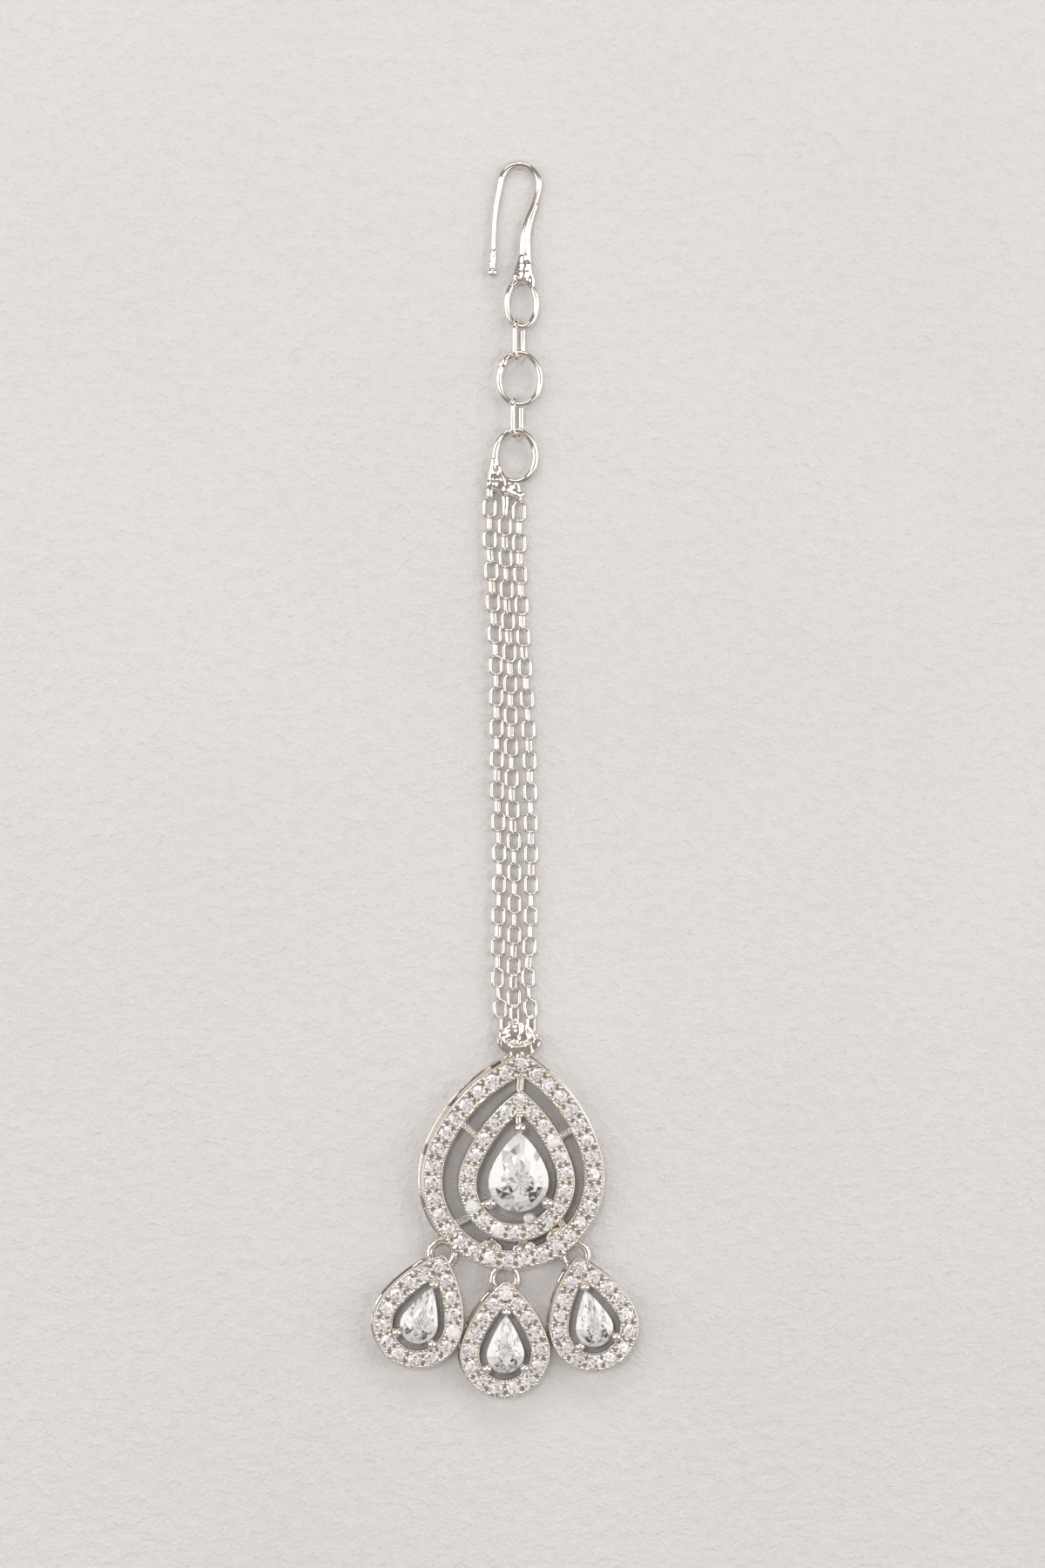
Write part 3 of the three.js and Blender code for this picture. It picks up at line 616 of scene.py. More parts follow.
def strand_points(name):
    """The chosen points that a strand runs through, from the yoke down to the collar."""
    lane = SIDES[name]
    across = []
    for _, x, left_room, right_room in ROUTE:
        room = left_room if lane < 0 else right_room
        across.append(x + lane * (STRAND_STEP + room) if lane else x)
    points = [(across[0], STRAND_TOP[name])]
    points += [(x, row[0]) for x, row in zip(across, ROUTE)]
    points.append((across[-1], STRAND_BOTTOM[name]))
    return np.array([(x + collar_x, y + collar_y, chain_z) for x, y in points])


HEAD_RING = (5.0, 6.1, 0.73)
HEAD_LEFT = 0.28
HEAD_ABOVE = 61.5
HEAD_Z = 1.195
head_path = oval_path(*HEAD_RING)
head_end = (HEAD_RING[1] - HEAD_RING[2]) / 2
head_x = collar_x - HEAD_LEFT
head_y = collar_y + HEAD_ABOVE
lean = math.degrees(math.asin((HEAD_Z - chain_z) / (2 * head_end)))
head_ring = tipped(head_path, lean, np.array([0, head_end, 0])) + (head_x, head_y, HEAD_Z)


def above(name, rise=0.0):
    """A point at a strand's upper end, or a little above it."""
    return strand_points(name)[0] + (0, 0.12 + rise, 0)


ring_left = np.array([head_x - 2.13, head_y + 0.2, HEAD_Z - 0.2])
left_knee = above("left", 0.9)
right_knee = above("right", 0.42)
knot = np.array([above("middle")[0] + 0.05, above("left")[1] + 0.55, chain_z])
yoke = soldered(
    [
        rod(ring_left, left_knee, 0.36, 0.50),
        rod(left_knee, above("left", -0.08), 0.42, 0.40, 5),
        ball(ring_left + (-0.1, -0.6, -0.05), 0.44),
        ball(ring_left + (0.05, -1.9, -0.1), 0.55),
        ball(left_knee + (0.1, 0.35, 0), 0.62),
        rod(ring_left + (0.25, -1.2, -0.1), knot, 0.42, 0.70),
        rod(left_knee + (0.3, 0.2, 0), knot, 0.50, 0.70),
        rod((head_x - 1.2, head_y - head_end + 0.3, chain_z), knot, 0.44, 0.70),
        rod((head_x + 0.1, head_y - head_end, chain_z), right_knee, 0.36, 0.40),
        ball(knot, 0.74),
        ball((left_knee + knot) / 2 + (0.1, 0.5, 0), 0.78, 10, 16, 0.85),
        ball(left_knee + (0.75, 1.15, 0), 0.66, 10, 16, 0.9),
        ball(knot + (0.35, 0.35, 0), 0.66, 10, 16, 0.9),
        rod(knot, right_knee, 0.70, 0.46),
        rod(right_knee, above("right", -0.08), 0.36, 0.34, 5),
        ball(right_knee + (0.42, 0.12, 0.05), 0.26),
        rod(knot + (0, -0.2, 0), above("middle", -0.1), 0.50, 0.30),
    ],
    voxel=0.075,
    sag=0.035,
    seed=5.5,
)
solder = silver_finish("solder", (0.88, 0.845, 0.80), rough=0.16, ripple=0.3)
make("head_yoke", yoke, solder)
head_wire = ringed(head_ring, HEAD_RING[2] / 2, 22, True)
make("head_ring", head_wire, wire_silver, ["chain_head"])


# Chain strands
# Three lengths of soldered cable chain lie side by side. Each link is a plain oval of round
# wire; flat links alternate with links on edge, and the strands aren't in step with each other.
CHAIN_WIDTH = 1.56
CHAIN_WIRE = 0.36
CHAIN_PITCH = 1.65
LINK_PLAY = 0.02
LINK_HALF_HEIGHT = 0.78
EDGE_ROLL = 68
LOOSE_ROLL = 7.0
LAST_LOOSE_ROLL = 26.0
chance = random.Random(7)


def strand_links(name):
    """All the links of one strand, from the yoke down to the collar."""
    path = smooth_path(strand_points(name), 400)
    gone = np.concatenate([[0], np.cumsum(np.linalg.norm(np.diff(path, axis=0), axis=1))])

    def along(far):
        return np.array([np.interp(far, gone, path[:, k]) for k in range(3)])

    run = gone[-1] - (CHAIN_PITCH + 2 * CHAIN_WIRE - LINK_PLAY)
    count = round(run / CHAIN_PITCH)
    pitch = run / count
    length = pitch + 2 * CHAIN_WIRE - LINK_PLAY
    link, faces = ringed(link_path(CHAIN_WIDTH, length, CHAIN_WIRE, 28), CHAIN_WIRE / 2, 10, True)
    parts = []
    for i in range(count + 1):
        far = length / 2 + i * pitch
        at = along(far)
        way = along(far + 0.5) - along(far - 0.5)
        # Every second link stands nearly on edge, and the last few by the collar lie loosest
        lying = EDGE_ROLL if i % 2 == 1 else 0
        loose = LAST_LOOSE_ROLL if i > count - 4 else LOOSE_ROLL
        roll = math.radians(lying + chance.uniform(-loose, loose))
        verts = rolled(link, roll)
        verts[:, 2] *= min(1.0, LINK_HALF_HEIGHT / np.abs(verts[:, 2]).max())
        heading = math.atan2(way[1], way[0]) + math.pi / 2
        heading += math.radians(chance.uniform(-1.5, 1.5))
        c, s = math.cos(heading), math.sin(heading)
        x = verts[:, 0] * c - verts[:, 1] * s
        y = verts[:, 0] * s + verts[:, 1] * c
        parts.append((np.stack([x, y, verts[:, 2]], 1) + at, faces))
    return together(parts)


for strand in SIDES:
    make("strand_" + strand, strand_links(strand), wire_silver, ["chain_" + strand])


# Pendant halos
# A cast pear-shaped outer halo stands on a gallery wall pierced with small windows. A smaller
# raised halo is bridged inside it. Each has a channel of small round stones between two rims.
class Pear:
    """A pear outline: a round bottom, two long side arcs and a small round tip."""

    def __init__(self, radius, tip, lean, tip_round):
        self.radius = radius
        self.tip_round = tip_round
        self.lean = math.radians(lean)
        self.reach = (tip ** 2 - radius ** 2) / (2 * (radius - tip * math.sin(self.lean)))

    def arcs(self, inset=0.0):
        """The right half's arcs: each one's centre, radius, first and last turn."""
        side = self.radius + self.reach - inset
        x = -self.reach * math.cos(self.lean)
        y = -self.reach * math.sin(self.lean)
        small = max(self.tip_round - inset, self.tip_round / 4)
        turn = math.acos(-x / (side - small))
        top = y + (side - small) * math.sin(turn)
        return [
            (0.0, 0.0, self.radius - inset, -math.pi / 2, self.lean),
            (x, y, side, self.lean, turn),
            (0.0, top, small, turn, math.pi / 2),
        ]

    def top(self, inset=0.0):
        _, y, r, _, _ = self.arcs(inset)[2]
        return y + r

    def length(self, inset=0.0):
        return 2 * sum(r * (b - a) for _, _, r, a, b in self.arcs(inset))

    def outline(self, inset=0.0, steps=(46, 34, 6)):
        right = []
        for (x, y, r, a, b), n in zip(self.arcs(inset), steps):
            turns = [a + (b - a) * k / n for k in range(n)]
            right += [(x + r * math.cos(t), y + r * math.sin(t)) for t in turns]
        right.append((0.0, self.top(inset)))
        return np.array(right + [(-x, y) for x, y in reversed(right[1:-1])])

    def at(self, share, inset=0.0):
        """The point and outward turn a share of the way round, clockwise from the tip."""
        half = self.length(inset) / 2
        gone = (share % 1.0) * 2 * half
        rest = abs(half - gone)
        for x, y, r, a, b in self.arcs(inset):
            if rest <= r * (b - a) + 1e-9:
                break
            rest -= r * (b - a)
        t = a + rest / r
        px, py = x + r * math.cos(t), y + r * math.sin(t)
        return (-px, py, math.pi - t) if gone > half else (px, py, t)


def pear_sweep(pear, profile):
    """A closed profile of insets and heights, carried round a pear."""
    rings = []
    for inset, z in profile:
        plan = pear.outline(inset)
        rings.append(np.column_stack([plan, np.full(len(plan), z)]))
    return np.vstack(rings), net(len(profile), len(rings[0]), True)


def rounded(corners, radius=0.09, steps=3):
    """A closed profile with its corners rounded."""
    done = []
    for i, corner in enumerate(corners):
        here = np.array(corner, float)
        for other in (corners[i - 1], corners[(i + 1) % len(corners)]):
            way = np.array(other, float) - here
            size = np.linalg.norm(way)
            done.append((here, way / size, min(radius, size * 0.4)))
    points = []
    for i in range(0, len(done), 2):
        (here, back, a), (_, forth, b) = done[i], done[i + 1]
        start, end = here + back * a, here + forth * b
        for k in range(steps + 1):
            t = k / steps
            points.append(tuple((1 - t) ** 2 * start + 2 * t * (1 - t) * here + t ** 2 * end))
    return points


def channel_profile(band, bottom, top, rim=0.24, deep=0.07):
    """A band's section: two rims with a channel for stones between them."""
    return rounded([
        (0.03, bottom),
        (0.03, top - 0.04),
        (0.08, top),
        (rim, top),
        (rim + 0.06, top - deep),
        (band - rim - 0.06, top - deep),
        (band - rim, top),
        (band - 0.05, top),
        (band, top - 0.04),
        (band, bottom),
    ])


def turned(shape, degrees, x=0.0, y=0.0):
    """A shape turned about Z, then moved in plan."""
    t = math.radians(degrees)
    verts, faces = shape
    verts = np.asarray(verts, float)
    px = verts[:, 0] * math.cos(t) - verts[:, 1] * math.sin(t) + x
    py = verts[:, 0] * math.sin(t) + verts[:, 1] * math.cos(t) + y
    return np.column_stack([px, py, verts[:, 2]]), faces


def wall_piece(pear, insets, wall, start, end, bottom, top, steps=14):
    """A stretch of gallery wall between two shares of the way round, from its foot to its top."""
    verts = []
    foot, head = insets
    corners = ((foot, 0, bottom), (head, 0, top), (head, wall, top), (foot, wall, bottom))
    for i in range(steps + 1):
        share = start + (end - start) * i / steps
        for inset, back, z in corners:
            x, y, t = pear.at(share, inset)
            verts.append((x - math.cos(t) * back, y - math.sin(t) * back, z))
    faces = net(steps + 1, 4, False)
    faces.append((3, 2, 1, 0))
    faces.append(tuple(4 * steps + k for k in range(4)))
    return np.array(verts), faces


# The gallery walls: how far in they stand and how thick they are, the windows' width and
# spacing, the rails' heights below and above the windows, and the top, hidden in the halo
WALL_INSET = 0.12
WALL = 0.42
WINDOW_WIDTH = 1.2
WINDOW_PITCH = 5.8
LOW_RAIL = 0.5
HIGH_RAIL = 1.5
WALL_TOP = 1.95


def rail(pear, inset, bottom, top):
    """A rail of the gallery wall, all the way round a pear."""
    back = inset + WALL
    return pear_sweep(pear, rounded([(inset, bottom), (inset, top), (back, top), (back, bottom)], 0.06))


def gallery(pear, closed, flare):
    """A wall with a rail above and below its row of windows, its foot standing out a little."""
    foot = WALL_INSET - flare
    parts = [rail(pear, foot, 0.0, LOW_RAIL), rail(pear, WALL_INSET, HIGH_RAIL, WALL_TOP)]
    around = pear.length(WALL_INSET)
    count = round(around / WINDOW_PITCH)
    gap = WINDOW_WIDTH / around
    insets = (foot, WALL_INSET)
    for i in range(count):
        start = (i + 0.5) / count + gap / 2
        end = (i + 1.5) / count - gap / 2
        x, y, _ = pear.at((i + 1.5) / count, WALL_INSET)
        if any(math.hypot(x - cx, y - cy) < room for cx, cy, room in closed):
            end += gap
        parts.append(wall_piece(pear, insets, WALL - 0.02, start, end, LOW_RAIL / 2, WALL_TOP - 0.05))
    return parts


def bar(start, end, width, bottom, top):
    """A small cast bar with rounded edges between two points in plan."""
    start, end = np.array(start, float), np.array(end, float)
    middle_z = (bottom + top) / 2
    path = [(*(start + (end - start) * s), middle_z) for s in np.linspace(0, 1, 8)]
    return ringed(path, width / 2, 12, False, (top - bottom) / width)


RIDGE_RADIUS = 0.07


def bridge(start, end, width, bottom, top):
    """Two bright rails and, between them, a lower web crossed by small ridges."""
    start, end = np.array(start, float), np.array(end, float)
    along = (end - start) / np.linalg.norm(end - start)
    beside = np.array([-along[1], along[0]])
    edge = width * 0.24
    parts = []
    for hand in (-1, 1):
        shift = beside * hand * (width / 2 - edge / 2)
        parts.append(bar(start + shift, end + shift, edge, bottom, top))
    web_top = top - 0.28
    parts.append(bar(start, end, width * 0.8, bottom, web_top))
    ridge_z = top - 0.22
    for share in (0.25, 0.42, 0.58, 0.75):
        at = start + (end - start) * share
        left = at - beside * width * 0.3
        right = at + beside * width * 0.3
        parts.append(rod((*left, ridge_z), (*right, ridge_z), RIDGE_RADIUS, RIDGE_RADIUS, 4))
    return together(parts)


PLATE_BOTTOM = 1.85
PLATE_TOP = 2.5
INNER_BOTTOM = 1.5
INNER_TOP = 3.2
OUTER = Pear(9.7, 13.3, 20, 0.6)
OUTER_BAND = 2.15
INNER = Pear(6.19, 9.97, 20, 0.5)
INNER_BAND = 1.9
# The inner halo's and the centre stone's turns and places in the outer halo
INNER_OFF = (1.9, 0.28, -0.34)
CENTRE_OFF = (3.2, 0.43, -0.13)
BRIDGE_WIDTH = 0.78
BRIDGE_BOTTOM = 1.9
PENDANT_TURN = -4.2
# The loops for the drops: their middle line's radius, wire, stand-off from the halo, height
# and beads. Each one's middle is at its drop's tip, so the drops' outline is needed here.
LOOP_MID = 1.33
LOOP_WIRE = 0.8
LOOP_STAND = 1.14
LOOP_Z = 1.2
LOOP_BEAD = 0.12
DROP = Pear(4.8, 7.9, 20, 0.45)
DROP_BAND = 2.05
DROP_TURN = {"left": -20.0, "middle": -0.7, "right": 13.7}
pendant_low, pendant_high = box_of("pendant_frame")
loop_reach = OUTER.radius + LOOP_STAND
pendant_x = (pendant_low[0] + pendant_high[0]) / 2
pendant_y = pendant_low[1] + LOOP_MID + LOOP_WIRE / 2 + loop_reach * math.cos(math.radians(PENDANT_TURN))


def on_pendant(shape, degrees=0.0, x=0.0, y=0.0):
    """A shape drawn in the pendant's own frame, put in its place."""
    return turned(turned(shape, degrees, x, y), PENDANT_TURN, pendant_x, pendant_y)


def drop_centre(name):
    """The middle of a drop's round end, in the table's plan."""
    low, high = box_of("drop_" + name + "_frame")
    return np.array([(low[0] + high[0]) / 2, low[1] + DROP.radius])


def loop_centre(name):
    """A loop's middle, which is at its drop's tip, in the pendant's own frame."""
    t = math.radians(DROP_TURN[name])
    tip = drop_centre(name) + DROP.top() * np.array([-math.sin(t), math.cos(t)])
    t = math.radians(-PENDANT_TURN)
    x, y = tip[0] - pendant_x, tip[1] - pendant_y
    return np.array([x * math.cos(t) - y * math.sin(t), x * math.sin(t) + y * math.cos(t)])


# The wall has no window behind the three loops or at the tip
TIP_ROOM = 2.3
closed = [(*loop_centre(name), LOOP_MID + LOOP_WIRE / 2 + WINDOW_WIDTH) for name in SIDES]
closed.append((0.0, OUTER.top(), TIP_ROOM))
outer_parts = [pear_sweep(OUTER, channel_profile(OUTER_BAND, PLATE_BOTTOM, PLATE_TOP))]
outer_parts += gallery(OUTER, closed, flare=0.3)
inner_parts = [pear_sweep(INNER, channel_profile(INNER_BAND, INNER_BOTTOM, INNER_TOP))]
bridge_parts = []
for share in (0.0, 0.155, 0.373, 0.627, 0.845):
    ox, oy, _ = OUTER.at(share, OUTER_BAND - 0.2)
    ix, iy, _ = INNER.at(share, 0.3)
    inside = turned((np.array([[ix, iy, 0.0]]), []), *INNER_OFF)[0][0]
    bridge_parts.append(bridge(inside[:2], (ox, oy), BRIDGE_WIDTH, BRIDGE_BOTTOM, PLATE_TOP))
# Each loop is a plain ring with a row of fine beads round its face
loop_parts = []
bead_reach = LOOP_MID + LOOP_WIRE * 0.3
for name in SIDES:
    x, y = loop_centre(name)
    steps = np.arange(48) * 2 * math.pi / 48
    path = np.stack([x + LOOP_MID * np.cos(steps), y + LOOP_MID * np.sin(steps), 0 * steps + LOOP_Z], 1)
    loop_parts.append(ringed(path, LOOP_WIRE / 2, 18, True))
    for t in steps[::2]:
        bead_at = (x + bead_reach * math.cos(t), y + bead_reach * math.sin(t), LOOP_Z + 0.3)
        loop_parts.append(ball(bead_at, LOOP_BEAD, 5, 8))

pendant_body = together(
    [on_pendant(part) for part in outer_parts + bridge_parts + loop_parts]
    + [on_pendant(part, *INNER_OFF) for part in inner_parts]
)
make("pendant_halos", pendant_body, silver, ["pendant_frame"])


# Collar
# A crescent cup soldered on the pendant's tip, open towards the chain, into which the ends of
# the three strands are soldered. It is rough and bright, like the yoke.
def crescent(rise, half, depth, wall, cup, bottom, top, steps=28):
    """A crescent between two half ovals, half its width to each side, from bottom to top."""
    outward = np.linspace(math.pi, 2 * math.pi, steps)
    inward = np.linspace(2 * math.pi, math.pi, steps)
    plan = [(half * math.cos(a), rise + depth * math.sin(a)) for a in outward]
    plan += [((half - wall) * math.cos(a), rise + cup * math.sin(a)) for a in inward]
    verts = [(x, y, z) for z in (bottom, top) for x, y in plan]
    n = len(plan)
    faces = net(2, n, False)
    for k in range(steps - 1):
        a, b, c, d = k, k + 1, n - 2 - k, n - 1 - k
        faces.append((a, d, c, b))
        faces.append((n + a, n + b, n + c, n + d))
    return np.array(verts), faces


cup = soldered(
    [
        crescent(rise=0.6, half=2.35, depth=2.15, wall=0.75, cup=0.9, bottom=0.25, top=1.95),
        ball((0.0, 0.35, 0.75), 1.9, 14, 24, 0.22),
        rod((-2.0, 0.5, 1.2), (-1.9, 1.1, 1.0), 0.36, 0.30, 5),
        rod((1.95, 0.4, 1.2), (2.05, 0.75, 1.1), 0.36, 0.30, 5),
        ball((-0.9, -0.2, 1.6), 0.42),
        ball((0.75, -0.35, 1.5), 0.5),
        rod((-0.3, -0.5, 1.0), (-0.32, 0.15, 0.85), 0.45, 0.34, 5),
    ],
    voxel=0.08,
    sag=0.08,
    seed=12.0,
)
make("collar_cup", (cup[0] + (collar_x, collar_y, 0), cup[1]), solder)


# Pave stones
# Small round stones sit side by side along each channel, their girdles level with the rims.
# Beads raised from the rims, and one in each gap between two stones, grip them, and a row of
# finer beads edges each rim.
PAVE_PITCH = 1.83
PAVE_RADIUS = 0.80
PAVE_RISE = 0.27
PAVE_DEPTH = 0.50
PAVE_TILT = 7
GAP_BEAD = 0.21
GRIP_BEAD = 0.24
RIM_BEAD = 0.115
RIM_BEAD_PITCH = 0.34
TABLE_SHARE = 0.56
GIRDLE_HALF = 0.03
GIRDLE_TONE = 0.8
ROUND_CROWN = 1.0
ROUND_RINGS = (1.0, 0.78, 0.56, 0.3)


def brilliant(rim, table, crown, girdle, depth, glint, draw, shares):
    """A cut stone over a rim about the origin, with a tone for each facet, painting the reflections seen
    in its face.
    """
    rim = np.asarray(rim, float)
    total = len(rim)
    verts, faces, tones = [], [], []

    def add(loop, tone):
        faces.append(loop)
        tones.append(tone)

    def height(share):
        if share <= TABLE_SHARE:
            return table
        fall = (share - TABLE_SHARE) / (1 - TABLE_SHARE)
        return table + (girdle + GIRDLE_HALF - table) * fall ** crown

    # The face, from the rim inwards: rings of kites, those under the table a little uneven
    rings = []
    for share in shares:
        start = len(verts)
        inner = share < TABLE_SHARE * 0.99
        for k in range(total):
            slip = draw.uniform(-0.3, 0.3) if inner else 0.0
            beside = rim[(k + (1 if slip > 0 else -1)) % total]
            lead = rim[k] * (1 - abs(slip)) + beside * abs(slip)
            size = share * (1 + (draw.uniform(-0.10, 0.10) if inner else 0.0))
            verts.append((lead[0] * size, lead[1] * size, height(share)))
        rings.append(list(range(start, start + total)))
    for r, (outer, inner) in enumerate(zip(rings, rings[1:])):
        share = (shares[r] + shares[r + 1]) / 2
        for k in range(total):
            m = (k + 1) % total
            turn = math.degrees(math.atan2(*(rim[k] + rim[m])[::-1])) % 360
            if (k + r) % 2:
                pair = ((outer[k], outer[m], inner[k]), (outer[m], inner[m], inner[k]))
            else:
                pair = ((outer[k], outer[m], inner[m]), (outer[k], inner[m], inner[k]))
            for loop in pair:
                add(loop, glint(turn, share, draw))
    verts.append((0, 0, table))
    for k in range(total):
        add((rings[-1][k], rings[-1][(k + 1) % total], len(verts) - 1), glint(90.0, 0.1, draw))
    # The girdle and the pavilion
    start = len(verts)
    verts += [(x, y, girdle - GIRDLE_HALF) for x, y in rim]
    verts.append((0, 0, girdle - depth))
    for k in range(total):
        m = (k + 1) % total
        add((rings[0][k], start + k, start + m, rings[0][m]), GIRDLE_TONE)
        add((start + k, start + total, start + m), GIRDLE_TONE)
    return (np.array(verts), faces), tones


def small_painted_glints(bright):
    """Painted reflection tones for a small round stone: a soft grey middle in a ring of light and dark
    painted chips.
    """

    def glint(turn, share, draw):
        if share < 0.3:
            return draw.choice((0.42, 0.5, 0.58, 0.66)) + bright
        return draw.choice((0.05, 0.4, 0.6, 0.7, 0.9, 1.0, 1.0)) + bright

    return glint


def round_stone(radius, turn, draw):
    """One small round stone, now and then one with brighter painted reflections."""
    turns = turn + np.arange(12) * 2 * math.pi / 12
    rim = np.stack([radius * np.cos(turns), radius * np.sin(turns)], 1)
    glint = small_painted_glints(0.5 if draw.random() < 0.08 else 0.0)
    return brilliant(rim, PAVE_RISE, ROUND_CROWN, 0.0, PAVE_DEPTH, glint, draw, ROUND_RINGS)


def pave(pear, band, face, seed):
    """The stones of one channel, and the beads that hold and edge them."""
    draw = random.Random(seed)
    middle_inset = band / 2
    count = round(pear.length(middle_inset) / PAVE_PITCH)
    stones, tones, beads = [], [], []
    for i in range(count):
        x, y, _ = pear.at(i / count, middle_inset)
        radius = PAVE_RADIUS + draw.uniform(-0.03, 0.02)
        # Each stone's facets get painted reflection tones
        (stone, loops), painted_chips = round_stone(radius, draw.uniform(0, 0.8), draw)
        tilt = Matrix.Rotation(math.radians(draw.uniform(-PAVE_TILT, PAVE_TILT)), 3, "X")
        tilt = tilt @ Matrix.Rotation(math.radians(draw.uniform(-PAVE_TILT, PAVE_TILT)), 3, "Y")
        stone = stone @ np.array(tilt).T
        stones.append((stone + (x, y, face - 0.01), loops))
        tones += painted_chips
        x, y, _ = pear.at((i + 0.5) / count, middle_inset)
        beads.append(ball((x, y, face - 0.04), GAP_BEAD, 6, 9))
        for inset in (0.35, band - 0.35):
            for lead in (0.33, 0.67):
                share = (i + lead + draw.uniform(-0.04, 0.04)) / count
                x, y, _ = pear.at(share, inset)
                size = GRIP_BEAD + draw.uniform(-0.03, 0.03)
                beads.append(ball((x, y, face + 0.08), size, 7, 11, 0.95))
    for inset in (0.16, band - 0.12):
        around = round(pear.length(inset) / RIM_BEAD_PITCH)
        for k in range(around):
            x, y, _ = pear.at((k + 0.5) / around, inset)
            size = RIM_BEAD + draw.uniform(-0.02, 0.02)
            beads.append(ball((x, y, face - 0.01), size, 4, 6))
    return together(stones), tones, together(beads)


# The stones' painted reflection tones, from dark to white
PAINTED_GLINT_TONES = [
    (0.0, (0.10, 0.085, 0.085, 1)),
    (0.32, (0.45, 0.415, 0.43, 1)),
    (0.58, (0.73, 0.70, 0.73, 1)),
    (0.87, (1.0, 0.99, 0.98, 1)),
]


def stone_finish(name, clear):
    """Colourless cubic zirconia, clear and polished, its colour painted with white, lilac grey and dark
    reflections from each facet's tone.
    """
    gem = Finish(name, Transmission_Weight=clear, IOR=2.15, Metallic=0.0)
    # Each facet's tone, with fine specks, paints reflections and glints into the colour
    tone = gem.node("Attribute", {"attribute_name": "glint"}, 2)
    spot = gem.place()
    speck = gem.node("TexNoise", Vector=spot, Scale=5200.0, Detail=2.0)
    tint = gem.node("ValToRGB", {"stops": PAINTED_GLINT_TONES}, Fac=tone + (speck - 0.5) * 0.5)
    polish = 0.02 + speck * 0.05
    return gem.feed(Base_Color=tint, Roughness=polish)


def make_stones(name, shape, tones, finish, nodes=()):
    """A piece of cut stones, sharp at its edges, with a painted reflection tone for each facet."""
    piece = make(name, shape, finish, nodes, smooth=False)
    # The facets' painted reflection tones
    layer = piece.data.attributes.new("glint", "FLOAT", "FACE")
    layer.data.foreach_set("value", tones)


pave_gem = stone_finish("pave_zirconia", clear=0.12)
outer_stones, outer_tones, outer_beads = pave(OUTER, OUTER_BAND, PLATE_TOP, 11)
inner_stones, inner_tones, inner_beads = pave(INNER, INNER_BAND, INNER_TOP, 12)
pendant_stones = together([on_pendant(outer_stones), on_pendant(inner_stones, *INNER_OFF)])
pendant_beads = together([on_pendant(outer_beads), on_pendant(inner_beads, *INNER_OFF)])
make_stones("pendant_pave", pendant_stones, outer_tones + inner_tones, pave_gem)
make("pendant_beads", pendant_beads, silver)


# Centre stone and its claws
# A pear brilliant held clear of the inner halo by three claws, one at its point and two beside
# its round end. Each claw is an arm from the halo, a short post and a polished bead.
CENTRE = Pear(3.2, 5.3, 20, 0.25)
CLAW_ANGLES = (90, -36, 216)
CLAW_GAP = 0.12
CLAW_ARM = 0.6
PEAR_SIDES = 26
PEAR_CROWN = 0.9
PEAR_RINGS = (1.0, 0.80, 0.62, 0.46, 0.32, 0.20, 0.10)


def pear_painted_glints(turn, share, draw):
    """Painted reflection tones for a pear cut: painted white highlights on the flanks, a busy upper half,
    and painted dark reflections low on both sides.
    """
    flank = turn < 48 or turn > 335 or 132 < turn < 205
    dark_side = 198 < turn < 243 or 297 < turn < 342
    if share > 0.80 and flank:
        return 1.0
    if dark_side and 0.34 < share < 0.86:
        return draw.choice((0.0, 0.0, 0.12, 0.4, 0.7, 1.0))
    if 243 <= turn <= 297 or share > 0.80:
        return draw.choice((0.35, 0.6, 0.85, 1.0, 1.0, 1.0))
    if share < 0.34:
        return draw.choice((0.3, 0.5, 0.65, 0.95, 1.0))
    return draw.choice((0.25, 0.5, 0.65, 0.8, 0.95, 1.0, 1.0, 1.0))


def pear_stone(pear, table, girdle, culet, seed):
    """A pear-cut stone between the heights of its table and its culet."""
    rim = np.array([pear.at(k / PEAR_SIDES)[:2] for k in range(PEAR_SIDES)])[::-1]
    draw = random.Random(seed)
    # The facets' tones paint the reflections: white flanks and dark lower sides
    return brilliant(rim, table, PEAR_CROWN, girdle, girdle - culet, pear_painted_glints, draw, PEAR_RINGS)


def claw_set(stone, halo, band, radius, bead, bottom, bead_z):
    """The three claws of a pear stone: an arm from the halo, a post and a bead each."""
    parts = []
    for angle in CLAW_ANGLES:
        t = math.radians(angle)
        out = np.array([math.cos(t), math.sin(t)])
        top_claw = angle == 90
        edge = stone.top() if top_claw else stone.radius
        inner = halo.top(band) + 0.4 if top_claw else halo.radius - band + 0.3
        at = out * (edge + CLAW_GAP + radius)
        parts.append(bar(at, out * inner, 2 * radius, bottom, bottom + CLAW_ARM))
        parts.append(rod((*at, bottom), (*at, bead_z), radius, radius * 0.9))
        parts.append(ball((*at, bead_z), bead, 14, 22, 0.92))
    return parts


clear_gem = stone_finish("clear_zirconia", clear=0.22)
claws = claw_set(CENTRE, INNER, INNER_BAND, radius=0.42, bead=0.6, bottom=2.0, bead_z=3.8)
make("centre_claws", on_pendant(together(claws), *CENTRE_OFF), wire_silver)
centre, centre_tones = pear_stone(CENTRE, table=4.3, girdle=3.35, culet=1.5, seed=31)
centre = on_pendant(centre, *CENTRE_OFF)
make_stones("centre_pear", centre, centre_tones, clear_gem, ["centre_stone"])


